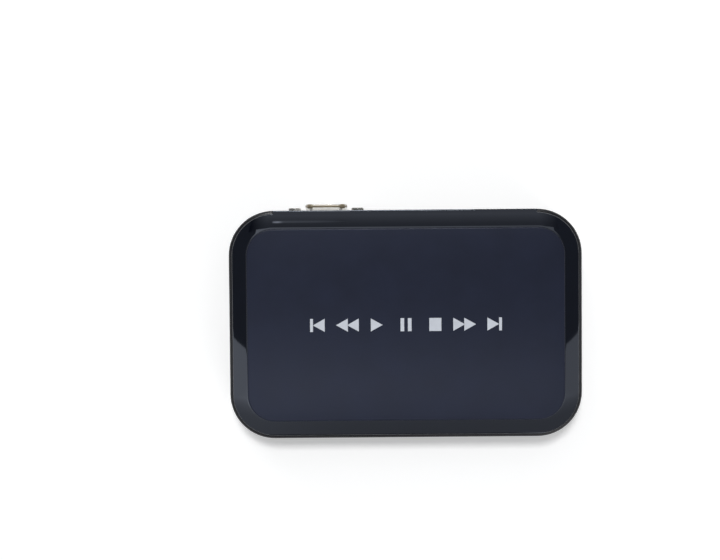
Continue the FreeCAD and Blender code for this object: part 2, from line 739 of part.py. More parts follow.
def case_screws():
    """Two pan-head screws from below through the case and the board into the cover's bosses."""
    head_z = FOOT_STANDOFF + FIT_GAP
    seat_z = head_z + CASE_SCREW_HEAD
    end_z = SEAM + CASE_SCREW_REACH
    return group(joined([rod(CASE_SCREW_HEAD_RADIUS, (*place, head_z), (*place, seat_z)),
                         rod(CASE_SCREW_RADIUS, (*place, seat_z), (*place, end_z))]) for place in BOSSES)


# ---- Main board ----
def main_board():
    """The circuit board, clamped by the case screws between the case's and the cover's bosses."""
    above = BOARD_TOP + PAST
    notch_y = (PANEL_BACK - BOARD_FROM_PANEL, HALF_DEPTH)
    notch = block(centred(0, RECESS_WIDTH + 2 * CHEEK + 2 * FIT_GAP), notch_y, (0, above))
    holes = [rod(CASE_SCREW_RADIUS + FIT_GAP, (*place, 0), (*place, above)) for place in BOSSES]
    return case_prism(BOARD_INSET, BOARD_BOTTOM, BOARD_TOP).cut([notch] + holes)


def on_board(x, y, width, depth, tall, low=BOARD_TOP):
    """A block that stands on the board."""
    return block(centred(x, width), centred(y, depth), (low, low + tall))


def processor_chip():
    """The main processor."""
    return on_board(PROCESSOR_X, PROCESSOR_Y, PROCESSOR_SIZE, PROCESSOR_SIZE, PROCESSOR_TALL)


def heatsink():
    """A finned heatsink on the processor."""
    low = BOARD_TOP + PROCESSOR_TALL
    base = on_board(PROCESSOR_X, PROCESSOR_Y, HEATSINK_SIZE, HEATSINK_SIZE, HEATSINK_BASE, low)
    pitch = (HEATSINK_SIZE - HEATSINK_FIN) / (HEATSINK_FINS - 1)
    first = PROCESSOR_X - pitch * (HEATSINK_FINS - 1) / 2
    fins = [on_board(first + n * pitch, PROCESSOR_Y, HEATSINK_FIN, HEATSINK_SIZE, HEATSINK_TALL, low)
            for n in range(HEATSINK_FINS)]
    return joined([base] + fins)


def memory_chips():
    """Two memory chips beside the processor."""
    x = PROCESSOR_X + MEMORY_FROM_PROCESSOR
    return group(on_board(x, PROCESSOR_Y + side * MEMORY_SPACING / 2, MEMORY_LENGTH, MEMORY_WIDTH, CHIP_TALL)
                 for side in (-1, 1))


def flash_chip():
    """The chip that keeps the player's own program."""
    return on_board(PROCESSOR_X - FLASH_FROM_PROCESSOR, PROCESSOR_Y, FLASH_WIDTH, FLASH_LENGTH, CHIP_TALL)


def capacitors():
    """Three electrolytic capacitors: two by the power jack, one by the drive's supply."""
    places = [(POWER_X, SUPPLY_Y), (POWER_X + SUPPLY_PITCH, SUPPLY_Y), (DRIVE_SUPPLY_X, 0)]
    top = BOARD_TOP + CAPACITOR_TALL
    return group(rod(CAPACITOR_RADIUS, (*place, BOARD_TOP), (*place, top)) for place in places)


def inductors():
    """Three power inductors."""
    places = [(POWER_X, SUPPLY_Y - SUPPLY_PITCH), (POWER_X - SUPPLY_PITCH, SUPPLY_Y),
              (DRIVE_SUPPLY_X, -SUPPLY_PITCH)]
    z = (BOARD_TOP, BOARD_TOP + INDUCTOR_TALL)
    return group(clipped_plate(centred(x, INDUCTOR_SIZE), centred(y, INDUCTOR_SIZE), z, INDUCTOR_CORNER)
                 for x, y in places)


def crystal():
    """The clock crystal in its can."""
    return clipped_plate(centred(PROCESSOR_X, CRYSTAL_LENGTH),
                         centred(PROCESSOR_Y - CRYSTAL_FROM_PROCESSOR, CRYSTAL_WIDTH),
                         (BOARD_TOP, BOARD_TOP + CRYSTAL_TALL), CRYSTAL_CORNER)


# ---- Front window ----
def front_window():
    """The smoked window in the cover's front skirt, with a flange behind it."""
    pane = block(centred(0, WINDOW_WIDTH), (COVER_INSET - HALF_DEPTH, WINDOW_BACK), (WINDOW_LOW, WINDOW_HIGH))
    flange = block(centred(0, WINDOW_WIDTH + 2 * WINDOW_FLANGE_EAR),
                   (COVER_INSET + COVER_WALL - HALF_DEPTH, WINDOW_BACK),
                   (WINDOW_LOW - WINDOW_FLANGE_LAP, WINDOW_HIGH + WINDOW_FLANGE_LAP))
    return joined([pane, flange])


def infrared_receiver():
    """The remote control's receiver behind the window, with its half-round eye."""
    middle = (WINDOW_LOW + WINDOW_HIGH) / 2
    top = middle + RECEIVER_ABOVE_MIDDLE
    front = WINDOW_BACK + RECEIVER_FROM_WINDOW
    body = block(centred(RECEIVER_X, RECEIVER_WIDTH), (front, front + RECEIVER_DEPTH), (BOARD_TOP, top))
    eye_y = front + BITE
    eye = rod(RECEIVER_EYE, (RECEIVER_X, eye_y, BOARD_TOP), (RECEIVER_X, eye_y, top))
    return joined([body, eye])


def status_lamp():
    """The lamp that shows through the window."""
    front = WINDOW_BACK + PIPE_LENGTH
    return block(centred(LAMP_X, LAMP_WIDTH), (front, front + LAMP_DEPTH), (BOARD_TOP, BOARD_TOP + LAMP_TALL))


def light_pipe():
    """The clear bar that takes the lamp's light to the window."""
    return block(centred(LAMP_X, PIPE_WIDTH), (WINDOW_BACK + SEAT_GAP, WINDOW_BACK + PIPE_LENGTH),
                 (BOARD_TOP, BOARD_TOP + PIPE_TALL))


# ---- Video socket ----
def d_face(shrink, y):
    """The video socket's D, wide side down, drawn in by a wall."""
    radius = SHELL_CORNER - shrink
    half = SHELL_LENGTH / 2 - shrink
    tall = SHELL_TALL / 2 - shrink
    low = (half - radius, radius - tall)
    high = (low[0] - (2 * tall - 2 * radius) * math.tan(math.radians(SHELL_SLOPE)), tall - radius)
    low_left = (-low[0], low[1])
    high_left = (-high[0], high[1])
    path = [
        (low[0], -tall),
        turn(low, radius, -90, SHELL_SLOPE),
        on_circle(high, radius, SHELL_SLOPE),
        turn(high, radius, SHELL_SLOPE, 90),
        (-high[0], tall),
        turn(high_left, radius, 90, 180 - SHELL_SLOPE),
        on_circle(low_left, radius, 180 - SHELL_SLOPE),
        turn(low_left, radius, 180 - SHELL_SLOPE, 270),
    ]
    return outline(path, lambda p: Vector(VIDEO_X + p[0], y, SHELL_Z + p[1]))


def jackscrew_places():
    """The middles of the two jackscrews along X."""
    return [VIDEO_X + side * JACKSCREW_SPACING / 2 for side in (-1, 1)]


def video_shell():
    """The metal flange and D-shaped shell of the video socket."""
    flange = block(centred(VIDEO_X, VIDEO_FLANGE_LENGTH), (VIDEO_BODY_BACK, PANEL_FACE),
                   centred(SHELL_Z, VIDEO_FLANGE_TALL))
    reach = Vector(0, VIDEO_FLANGE_SHEET + SHELL_REACH, 0)
    tube = d_face(0, VIDEO_BODY_BACK).extrude(reach)
    room = d_face(SHELL_SHEET, VIDEO_BODY_BACK - PAST).extrude(reach + Vector(0, 2 * PAST, 0))
    hole = SHANK_RADIUS + SEAT_GAP
    through = (VIDEO_BODY_BACK - PAST, PANEL_FACE + PAST)
    holes = [rod(hole, (x, through[0], SHELL_Z), (x, through[1], SHELL_Z)) for x in jackscrew_places()]
    return joined([flange, tube]).cut([room] + holes)


def video_insulator():
    """The plastic body behind the flange and the contact block inside the D."""
    body = block(centred(VIDEO_X, VIDEO_BODY_LENGTH), (VIDEO_BODY_BACK - VIDEO_BODY_DEPTH, VIDEO_BODY_BACK),
                 (BOARD_BOTTOM - VIDEO_BODY_TALL, BOARD_BOTTOM))
    reach = Vector(0, BITE + VIDEO_FLANGE_SHEET + SHELL_REACH - TONGUE_SET_BACK, 0)
    tongue = d_face(SHELL_SHEET + SEAT_GAP, VIDEO_BODY_BACK - BITE).extrude(reach)
    return joined([body, tongue])


def hexagon(flats, x, y, z):
    """A hexagon facing along Y with a corner up."""
    radius = flats / 2 / math.cos(math.radians(30))
    corners = [on_circle((x, z), radius, 90 + 60 * n) for n in range(6)]
    return outline(corners, lambda p: Vector(p[0], y, p[1]))


def video_jackscrews():
    """Two hexagonal jackscrews, threaded for the plug's own screws."""
    face = PANEL_FACE + HEX_LENGTH
    screws = []
    for x in jackscrew_places():
        head = hexagon(HEX_FLATS, x, PANEL_FACE, SHELL_Z).extrude(Vector(0, HEX_LENGTH, 0))
        shank = rod(SHANK_RADIUS, (x, PANEL_FACE - SHANK_LENGTH, SHELL_Z), (x, PANEL_FACE + BITE, SHELL_Z))
        thread = rod(SCREW_THREAD_RADIUS, (x, VIDEO_BODY_BACK, SHELL_Z), (x, face + PAST, SHELL_Z))
        screws.append(joined([head, shank]).cut(thread))
    return group(screws)


# ---- Digital video socket ----
def digital_prism(shrink, start, end):
    """A prism of the digital video socket's face, its lower corners cut off, drawn in by a wall."""
    x0, x1 = centred(DIGITAL_X, DIGITAL_WIDTH - 2 * shrink)
    z0 = BOARD_TOP + shrink
    z1 = BOARD_TOP + DIGITAL_TALL - shrink
    clip = DIGITAL_CHAMFER - shrink * (2 - math.sqrt(2))
    path = [(x0, z1), (x0, z0 + clip), (x0 + clip, z0), (x1 - clip, z0), (x1, z0 + clip), (x1, z1)]
    return outline(path, lambda p: Vector(p[0], start, p[1])).extrude(Vector(0, end - start, 0))


def digital_shell():
    """The digital video socket's metal shell, closed at the back."""
    front = PANEL_FACE + DIGITAL_PROUD
    back = front - DIGITAL_DEPTH
    return digital_prism(0, back, front).cut(digital_prism(DIGITAL_SHEET, back + DIGITAL_SHEET, front + PAST))


def digital_tongue():
    """The contact tongue inside the digital video socket, with its block at the back."""
    back = PANEL_FACE + DIGITAL_PROUD - DIGITAL_DEPTH + DIGITAL_SHEET
    middle = BOARD_TOP + DIGITAL_TALL / 2
    base = digital_prism(DIGITAL_SHEET + SEAT_GAP, back, back + DIGITAL_BLOCK)
    tongue = block(centred(DIGITAL_X, DIGITAL_TONGUE_WIDTH), (back, PANEL_FACE - PIN_SET_BACK),
                   centred(middle, DIGITAL_TONGUE_TALL))
    return joined([base, tongue])


# ---- Round jacks and power jack ----
def jack(x, z, width, tall, depth, nose, bore_radius, bore_length):
    """A jack's body behind the panel with its round nose and its bore."""
    back = PANEL_BACK - SEAT_GAP
    body = block(centred(x, width), (back - depth, back), (BOARD_TOP, BOARD_TOP + tall))
    collar = rod(JACK_NOSE_RADIUS, (x, back - BITE, z), (x, nose, z))
    bore = rod(bore_radius, (x, nose - bore_length, z), (x, nose + PAST, z))
    return joined([body, collar]).cut(bore)


def round_jacks():
    """The two 3.5 mm jacks for picture and sound."""
    return group(jack(x, JACK_Z, JACK_WIDTH, JACK_TALL, JACK_DEPTH, PANEL_FACE + JACK_PROUD, JACK_BORE_RADIUS,
                      JACK_BORE_LENGTH) for x in (PICTURE_JACK_X, SOUND_JACK_X))


def power_jack():
    """The power jack's plastic body."""
    return jack(POWER_X, POWER_Z, POWER_WIDTH, POWER_TALL, POWER_DEPTH, PANEL_FACE + POWER_PROUD,
                POWER_HOLE_RADIUS, POWER_HOLE_DEPTH)


def power_pin():
    """The power jack's centre pin."""
    start = PANEL_FACE + POWER_PROUD - POWER_HOLE_DEPTH
    return rod(POWER_PIN_RADIUS, (POWER_X, start, POWER_Z), (POWER_X, PANEL_FACE - PIN_SET_BACK, POWER_Z))


# ---- USB socket ----
def usb_shell():
    """The USB socket's metal shell under the board at the left side."""
    front = USB_SET_BACK - HALF_WIDTH
    z = (BOARD_BOTTOM - USB_TALL, BOARD_BOTTOM)
    shell = block((front, front + USB_DEPTH), centred(USB_Y, USB_WIDTH), z)
    room = block((front - PAST, front + USB_DEPTH - USB_SHEET), centred(USB_Y, USB_WIDTH - 2 * USB_SHEET),
                 (z[0] + USB_SHEET, z[1] - USB_SHEET))
    return shell.cut(room)


def usb_tongue():
    """The USB socket's contact tongue and its block."""
    front = USB_SET_BACK - HALF_WIDTH
    back = front + USB_DEPTH - USB_SHEET
    inside = USB_SHEET + SEAT_GAP
    high = BOARD_BOTTOM - inside
    base = block((back - USB_BLOCK, back), centred(USB_Y, USB_WIDTH - 2 * inside),
                 (BOARD_BOTTOM - USB_TALL + inside, high))
    tongue = block((front + PIN_SET_BACK, back), centred(USB_Y, USB_WIDTH - 2 * USB_TONGUE_INSET),
                   (high - FIT_GAP - USB_TONGUE_TALL, high - FIT_GAP))
    return joined([base, tongue])


# ---- Drive socket ----
def blade_blocks(x, gap):
    """The drive plug's short and long blade, or with a gap the room for them."""
    z = (BLADE_LOW - gap, BLADE_LOW + BLADE_THICKNESS + gap)
    return [block(x, (PLUG_Y + y0 - gap, PLUG_Y + y1 + gap), z) for y0, y1 in BLADES]


def sata_socket():
    """The drive's socket: a block on the riser and a nose with two slots that the drive's blades enter."""
    face = DRIVE_START_X - SLIDE_GAP
    low = TRAY_TOP + NOSE_LOW
    base = block((RISER_FACE, face), centred(PLUG_Y, SOCKET_WIDTH), (low, low + NOSE_TALL + NOTCH_HEADROOM))
    nose = block((face - BITE, NOSE_END), centred(PLUG_Y, NOSE_WIDTH), (low, low + NOSE_TALL))
    return joined([base, nose]).cut(blade_blocks((NOSE_END - BLADE_REACH - PAST, NOSE_END + PAST), SLIDE_GAP))


def riser_board():
    """The small upright board that carries the drive's socket below the main board."""
    return block((RISER_FACE - RISER_THICKNESS, RISER_FACE), centred(PLUG_Y, RISER_WIDTH),
                 (TRAY_TOP + RISER_ABOVE_TRAY, BOARD_BOTTOM))


# ---- Hard drive ----
def drive_notch():
    """The notch for the drive's plug, in the end that the socket meets."""
    return block((DRIVE_START_X - PAST, DRIVE_START_X + NOTCH_DEPTH), centred(PLUG_Y, SOCKET_WIDTH),
                 (TRAY_TOP - PAST, TRAY_TOP + NOSE_LOW + NOSE_TALL + NOTCH_HEADROOM))


def drive_pocket(shrink, low, high):
    """The room of the shallow pocket under the drive that its own board lies in."""
    x = (DRIVE_START_X + NOTCH_DEPTH + POCKET_FROM_NOTCH + shrink, DRIVE_END_X - POCKET_FROM_FAR_END - shrink)
    return block(x, centred(DRIVE_Y, DRIVE_WIDTH - 2 * POCKET_FROM_SIDE - 2 * shrink), (low, high))


def drive_casting():
    """The drive's aluminium body: rounded block, notch for its plug, pocket for its board, threaded holes."""
    body = rounded_plate((DRIVE_START_X, DRIVE_END_X), centred(DRIVE_Y, DRIVE_WIDTH),
                         (TRAY_TOP, DRIVE_TOP - DRIVE_LID), DRIVE_CORNER)
    hole = DRIVE_SCREW_RADIUS + SEAT_GAP
    hole_end = TRAY_TOP + DRIVE_SCREW_REACH + BITE
    holes = [rod(hole, (*place, TRAY_TOP - PAST), (*place, hole_end)) for place in DRIVE_HOLES]
    return body.cut([drive_notch(), drive_pocket(0, TRAY_TOP - PAST, TRAY_TOP + POCKET_DEPTH)] + holes)


def drive_lid():
    """The drive's pressed steel lid, raised over its disc and its arm."""
    low = DRIVE_TOP - DRIVE_LID
    lid_x = (DRIVE_START_X + DRIVE_LID_INSET, DRIVE_END_X - DRIVE_LID_INSET)
    lid_y = centred(DRIVE_Y, DRIVE_WIDTH - 2 * DRIVE_LID_INSET)
    lid = rounded_plate(lid_x, lid_y, (low, low + DRIVE_LID_SHEET), DRIVE_CORNER)
    spindle_x = DRIVE_END_X - SPINDLE_FROM_END
    disc = rod(DRIVE_WIDTH / 2 - DISC_FROM_SIDE, (spindle_x, DRIVE_Y, low), (spindle_x, DRIVE_Y, DRIVE_TOP))
    arm = block((DRIVE_START_X + ARM_FROM_END, spindle_x), centred(DRIVE_Y, DRIVE_WIDTH - 2 * ARM_FROM_SIDE),
                (low, DRIVE_TOP))
    return joined([lid, disc, arm])


def drive_board():
    """The drive's own circuit board."""
    top = TRAY_TOP + POCKET_DEPTH
    return drive_pocket(FIT_GAP, top - DRIVE_BOARD_THICKNESS, top)


def drive_plug():
    """The drive's plug: a block at the back of the notch with a short and a long blade."""
    back = DRIVE_START_X + NOTCH_DEPTH
    base = block((back - PLUG_DEPTH, back), centred(PLUG_Y, SOCKET_WIDTH - 2 * SEAT_GAP),
                 (TRAY_TOP + NOSE_GAP, TRAY_TOP + NOSE_LOW + NOSE_TALL + NOTCH_HEADROOM))
    return joined([base] + blade_blocks((back - PLUG_DEPTH - BLADE_REACH, back), 0))


def drive_screws():
    """Four countersunk screws that hold the drive down on the tray."""
    screws = []
    for place in DRIVE_HOLES:
        head = cone(DRIVE_SCREW_HEAD_RADIUS, DRIVE_SCREW_RADIUS, (*place, TRAY_BOTTOM), (*place, TRAY_TOP))
        shank = rod(DRIVE_SCREW_RADIUS, (*place, TRAY_TOP), (*place, TRAY_TOP + DRIVE_SCREW_REACH))
        screws.append(joined([head, shank]))
    return group(screws)


# ---- Tray ----
def studs(x, gap):
    """The bezel's two square studs, or with a gap the windows for them."""
    z = centred(TRAY_TOP + TRAY_FLANGE_HEIGHT / 2, STUD_TALL + 2 * gap)
    return [block(x, centred(DRIVE_Y + side * STUD_SPACING / 2, STUD_WIDTH + 2 * gap), z) for side in (-1, 1)]


def drive_tray():
    """The sheet steel tray: floor with air slots and runners, and a flange up the bezel's back."""
    floor = block((DRIVE_START_X, BEZEL_BACK), centred(DRIVE_Y, 2 * RUNNER_HALF), (TRAY_BOTTOM, TRAY_TOP))
    flange = block((TRAY_FLANGE_X, BEZEL_BACK), centred(DRIVE_Y, 2 * (RUNNER_HALF - TRAY_FLANGE_INSET)),
                   (TRAY_BOTTOM, TRAY_TOP + TRAY_FLANGE_HEIGHT))
    cuts = studs((TRAY_FLANGE_X - PAST, BEZEL_BACK + PAST), SEAT_GAP)
    middle = (DRIVE_START_X + DRIVE_END_X) / 2
    for n in range(TRAY_SLOTS):
        x = middle + (n - (TRAY_SLOTS - 1) / 2) * TRAY_SLOT_PITCH
        cuts.append(block(centred(x, TRAY_SLOT_WIDTH), centred(DRIVE_Y, TRAY_SLOT_LENGTH),
                          (TRAY_BOTTOM - PAST, TRAY_TOP + PAST)))
    for place in DRIVE_HOLES:
        cuts.append(cone(DRIVE_SCREW_HEAD_RADIUS + SEAT_GAP, DRIVE_SCREW_RADIUS + SEAT_GAP,
                         (*place, TRAY_BOTTOM), (*place, TRAY_TOP)))
    return joined([floor, flange]).cut(cuts)


def pad_swing(gap):
    """The round that the pad's lower edge sweeps about its pin."""
    y = centred(PAD_Y, PAD_LENGTH + 2 * gap)
    return rod(PAD_REACH + gap, (PIVOT_X, y[0], PIVOT_Z), (PIVOT_X, y[1], PIVOT_Z))


def pad_top():
    """The pad's upper edge, level with the lower side of its hub."""
    return PIVOT_Z - HUB_RADIUS + PAD_ABOVE_HUB


def pin_bar(radius, reach):
    """A bar along the latch's pin, reaching beyond the pad's ends."""
    y = centred(PAD_Y, PAD_LENGTH + 2 * reach)
    return rod(radius, (PIVOT_X, y[0], PIVOT_Z), (PIVOT_X, y[1], PIVOT_Z))


def tray_bezel():
    """The tray's front: it carries on the case's outline, with ribs, ears for the latch and studs."""
    z = (TRAY_BOTTOM, BEZEL_TOP)
    y = centred(DRIVE_Y, 2 * RUNNER_HALF)
    solid = case_prism(0, *z).common(block((BEZEL_BACK, HALF_WIDTH + PAST), y, z))
    room = case_prism(BEZEL_WALL, z[0] + BEZEL_SKIN, z[1] - BEZEL_SKIN).common(
        block((BEZEL_BACK - PAST, HALF_WIDTH), (y[0] + BEZEL_SKIN, y[1] - BEZEL_SKIN), z))
    root = (BEZEL_BACK, HALF_WIDTH - BITE)
    ear = PAD_LENGTH / 2 + FIT_GAP
    inner = [block(root, sorted((PAD_Y + side * ear, PAD_Y + side * (ear + LATCH_EAR))), z)
             for side in (-1, 1)]
    inner += [block(root, centred(DRIVE_Y + side * BEZEL_RIB_SPACING / 2, BEZEL_RIB), z) for side in (-1, 1)]
    inner = [piece.common(solid) for piece in inner + studs(root, 0)]
    bezel = joined([solid.cut(room)] + inner + studs((TRAY_FLANGE_X, BEZEL_BACK + PAST), 0))
    gap_y = centred(PAD_Y, PAD_LENGTH + 2 * FIT_GAP)
    window = block((PIVOT_X, HALF_WIDTH + PAST), gap_y, (TRAY_BOTTOM, pad_top() + FIT_GAP))
    hook_slot = block((HOOK_BACK - HOOK_SWING, HOOK_FRONT + SLIDE_GAP), gap_y,
                      (TRAY_BOTTOM - PAST, TRAY_BOTTOM + BEZEL_SKIN + PAST))
    pin_hole = pin_bar(PIN_RADIUS + SEAT_GAP, FIT_GAP + LATCH_EAR + NOSE_GAP)
    return bezel.cut([window.common(pad_swing(FIT_GAP)), hook_slot, pin_hole])


# ---- Latch ----
def latch_lever():
    """The release lever: a domed pad, a hub on its pin, two cheeks and a hook."""
    half = PAD_LENGTH / 2
    hook_low = FLOOR_TOP - HOOK_DEPTH
    arm_low = FLOOR_TOP + ARM_LOW
    arm = outline([
        (HOOK_BACK, hook_low + HOOK_CHAMFER),
        (HOOK_BACK + HOOK_CHAMFER, hook_low),
        (HOOK_FRONT, hook_low),
        (HOOK_FRONT, arm_low + ARM_TALL),
        (PIVOT_X + PAD_ABOVE_HUB, PIVOT_Z - HUB_RADIUS + FIT_GAP),
        (PIVOT_X, PIVOT_Z),
        (PIVOT_X - HUB_RADIUS + PAD_ABOVE_HUB, PIVOT_Z + HUB_RADIUS - BITE),
        (HOOK_BACK, arm_low + ARM_TALL + ARM_RISE),
    ], lambda p: Vector(p[0], PAD_Y - half, p[1])).extrude(Vector(0, PAD_LENGTH, 0))
    gap = block((HOOK_BACK - PAST, HALF_WIDTH), centred(PAD_Y, PAD_LENGTH - 2 * LATCH_CHEEK),
                (arm_low, PIVOT_Z - HUB_RADIUS - NOSE_GAP))
    dome_radius = (half ** 2 + PAD_PROUD ** 2) / (2 * PAD_PROUD)
    dome_x = PAD_FACE - dome_radius
    dome = rod(dome_radius, (dome_x, PAD_Y, 0), (dome_x, PAD_Y, PIVOT_Z))
    pad = block((PAD_BACK, PAD_FACE), centred(PAD_Y, PAD_LENGTH), (TRAY_BOTTOM, pad_top()))
    neck = block((PIVOT_X, PAD_BACK + NOSE_GAP), centred(PAD_Y, PAD_LENGTH),
                 (pad_top() - NECK_TALL, pad_top()))
    pieces = [arm.cut(gap), pin_bar(HUB_RADIUS, 0), neck, pad.common(dome).common(pad_swing(0))]
    return joined(pieces).cut(pin_bar(PIN_RADIUS + SEAT_GAP, PAST))


def latch_pin():
    """The pin that the lever turns on."""
    return pin_bar(PIN_RADIUS, FIT_GAP + LATCH_EAR)


def latch_spring():
    """A bent leaf spring from the tray's flange to the back of the pad."""
    x = BEZEL_BACK
    tip = PAD_BACK - SEAT_GAP
    bend = PIVOT_Z - SPRING_BELOW_PIVOT
    low = bend - SPRING_BEND
    tip_low = low - SPRING_FALL + SPRING_BEND
    leaf = outline([
        (x, bend + SPRING_TALL),
        (x, bend),
        (x + SPRING_BEND, low),
        (tip, tip_low),
        (tip, tip_low + SPRING_SHEET),
        (x + SPRING_BEND + SPRING_SHEET, low + SPRING_SHEET),
        (x + SPRING_SHEET, bend + SPRING_SHEET),
        (x + SPRING_SHEET, bend + SPRING_TALL),
    ], lambda p: Vector(p[0], PAD_Y - SPRING_WIDTH / 2, p[1]))
    return leaf.extrude(Vector(0, SPRING_WIDTH, 0))


# ---- The whole player ----
PARTS = {
    "bottom_case": bottom_case,
    "top_cover": top_cover,
    "top_plate": top_plate,
    "rear_panel": rear_panel,
    "rubber_feet": rubber_feet,
    "case_screws": case_screws,
    "main_board": main_board,
    "processor_chip": processor_chip,
    "heatsink": heatsink,
    "memory_chips": memory_chips,
    "flash_chip": flash_chip,
    "capacitors": capacitors,
    "inductors": inductors,
    "crystal": crystal,
    "front_window": front_window,
    "infrared_receiver": infrared_receiver,
    "status_lamp": status_lamp,
    "light_pipe": light_pipe,
    "video_shell": video_shell,
    "video_insulator": video_insulator,
    "video_jackscrews": video_jackscrews,
    "digital_shell": digital_shell,
    "digital_tongue": digital_tongue,
    "round_jacks": round_jacks,
    "power_jack": power_jack,
    "power_pin": power_pin,
    "usb_shell": usb_shell,
    "usb_tongue": usb_tongue,
    "riser_board": riser_board,
    "sata_socket": sata_socket,
    "drive_casting": drive_casting,
    "drive_lid": drive_lid,
    "drive_board": drive_board,
    "drive_plug": drive_plug,
    "drive_screws": drive_screws,
    "drive_tray": drive_tray,
    "tray_bezel": tray_bezel,
    "latch_lever": latch_lever,
    "latch_pin": latch_pin,
    "latch_spring": latch_spring,
}


def save(name, shape):
    """Writes one node about the whole player's origin."""
    placed = shape.copy()
    placed.translate(Vector(0, -ORIGIN_Y, 0))
    placed.exportStep(os.path.join("parts", name + ".step"))
    solids = placed.Solids
    state = "valid" if placed.isValid() else "NOT VALID"
    print(f"{name}: {len(solids)} solid(s), {sum(s.Volume for s in solids):.1f} mm3, {state}")


os.makedirs("parts", exist_ok=True)
for part_name, make in PARTS.items():
    save(part_name, make())
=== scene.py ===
"""Looks of the media player with hard drive tray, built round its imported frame."""
import json
import math

import bmesh
import bpy
from mathutils import Matrix, Vector


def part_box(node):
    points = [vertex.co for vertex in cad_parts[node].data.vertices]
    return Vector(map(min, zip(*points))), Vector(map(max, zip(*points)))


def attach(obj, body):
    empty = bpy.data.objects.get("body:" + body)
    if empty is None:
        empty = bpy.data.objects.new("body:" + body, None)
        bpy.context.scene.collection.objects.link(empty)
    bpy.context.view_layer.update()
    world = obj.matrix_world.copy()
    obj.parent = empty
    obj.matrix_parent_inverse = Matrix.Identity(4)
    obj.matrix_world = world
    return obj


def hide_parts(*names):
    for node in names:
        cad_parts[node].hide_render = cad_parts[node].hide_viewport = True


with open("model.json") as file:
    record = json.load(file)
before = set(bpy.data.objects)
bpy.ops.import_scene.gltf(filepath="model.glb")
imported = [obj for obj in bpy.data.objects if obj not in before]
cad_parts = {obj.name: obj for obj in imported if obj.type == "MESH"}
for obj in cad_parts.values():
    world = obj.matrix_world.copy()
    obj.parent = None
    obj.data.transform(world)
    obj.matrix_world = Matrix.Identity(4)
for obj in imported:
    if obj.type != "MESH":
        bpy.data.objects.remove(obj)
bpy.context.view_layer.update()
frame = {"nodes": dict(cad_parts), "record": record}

MM = 0.001
NODES = frame["nodes"]
SLOTS = {row["node"]: row["material_slot"] for row in frame["record"]["subparts"]}
MOUNTS = {row["name"]: row for row in frame["record"]["mounts"]}


# ---- Sizes and places worked out from the frame ----

def low(node):
    """The lowest corner of a node's box."""
    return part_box(node)[0]


def high(node):
    """The highest corner of a node's box."""
    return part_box(node)[1]


def middle(node):
    """The middle of a node's box."""
    return (low(node) + high(node)) / 2


CASE_LOW, CASE_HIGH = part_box("bottom_case")
COVER_LOW, COVER_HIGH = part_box("top_cover")
PLATE_LOW, PLATE_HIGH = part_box("top_plate")
CENTRE = (CASE_LOW + CASE_HIGH) / 2
HALF = (CASE_HIGH - CASE_LOW) / 2
RIM_TOP = CASE_HIGH.z
CORNER = 17.5 * MM
COVER_INSET = CASE_HIGH.x - COVER_HIGH.x
PLATE_INSET = CASE_HIGH.x - PLATE_HIGH.x

# Surfaces are kept a hair apart, and the spare is how far a trimming form reaches past what it shapes.
HAIR = 0.01 * MM
SPARE = 1 * MM

# How finely round forms are drawn, and the angles in degrees above which edges stay sharp.
CORNER_STEPS = 16
EDGE_STEPS = 8
BAND_STEPS = 14
PLATE_STEPS = 6
BROW_STEPS = 6
PIECE_SHARP = 32
NODE_SHARP = 30


# ---- Mesh helpers ----

def added(name, data):
    """A new object in the scene, from a mesh, a camera or a lamp."""
    made = bpy.data.objects.new(name, data)
    bpy.context.scene.collection.objects.link(made)
    return made


def solid(name, form):
    """A closed form, given as vertices and faces, as an object."""
    verts, faces = form
    mesh = bpy.data.meshes.new(name)
    mesh.from_pydata([tuple(v) for v in verts], [], faces)
    outward(mesh)
    return added(name, mesh)


def piece(name, form, body, slot, replaces=(), sharp=PIECE_SHARP, material_of=None):
    """A new mesh piece that rides on a body."""
    made = solid(name, form)
    shade(made.data, sharp)
    dress(made, body, slot, replaces, material_of)


def dress(made, body, slot, replaces=(), material_of=None):
    """Gives a piece the material of its slot or the one given, puts it on its body and hides the nodes that
    it stands for.
    """
    made.data.materials.clear()
    made.data.materials.append(material_of or MATERIALS[slot])
    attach(made, body)
    if replaces:
        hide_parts(*replaces)


def outward(mesh):
    """Turns every face of a closed mesh outwards."""
    work = bmesh.new()
    work.from_mesh(mesh)
    bmesh.ops.recalc_face_normals(work, faces=work.faces)
    work.to_mesh(mesh)
    work.free()


def shade(mesh, sharp):
    """Smooth shading with sharp edges above an angle in degrees."""
    mesh.shade_smooth()
    mesh.set_sharp_from_angle(angle=math.radians(sharp))


def rounded_ring(inset, z):
    """Points round a rounded rectangle, set in from the case's outline."""
    radius = CORNER - inset
    points = []
    for number, (sx, sy) in enumerate(((1, 1), (-1, 1), (-1, -1), (1, -1))):
        for step in range(CORNER_STEPS + 1):
            angle = math.radians(90 * (number + step / CORNER_STEPS))
            x = CENTRE.x + sx * (HALF.x - CORNER) + radius * math.cos(angle)
            y = CENTRE.y + sy * (HALF.y - CORNER) + radius * math.sin(angle)
            points.append(Vector((x, y, z)))
    return points


def lofted(rings):
    """Vertices and faces of a closed solid through rings of equal length."""
    count = len(rings[0])
    verts = [point for ring in rings for point in ring]
    faces = []
    for level in range(len(rings) - 1):
        for number in range(count):
            after = (number + 1) % count
            a = level * count + number
            b = level * count + after
            faces.append((a, b, b + count, a + count))
    faces.append(tuple(range(count))[::-1])
    top = (len(rings) - 1) * count
    faces.append(tuple(range(top, top + count)))
    return verts, faces


def arc(steps):
    """Angles from 0 to 90 degrees, in radians."""
    return [math.radians(90 * step / steps) for step in range(steps + 1)]


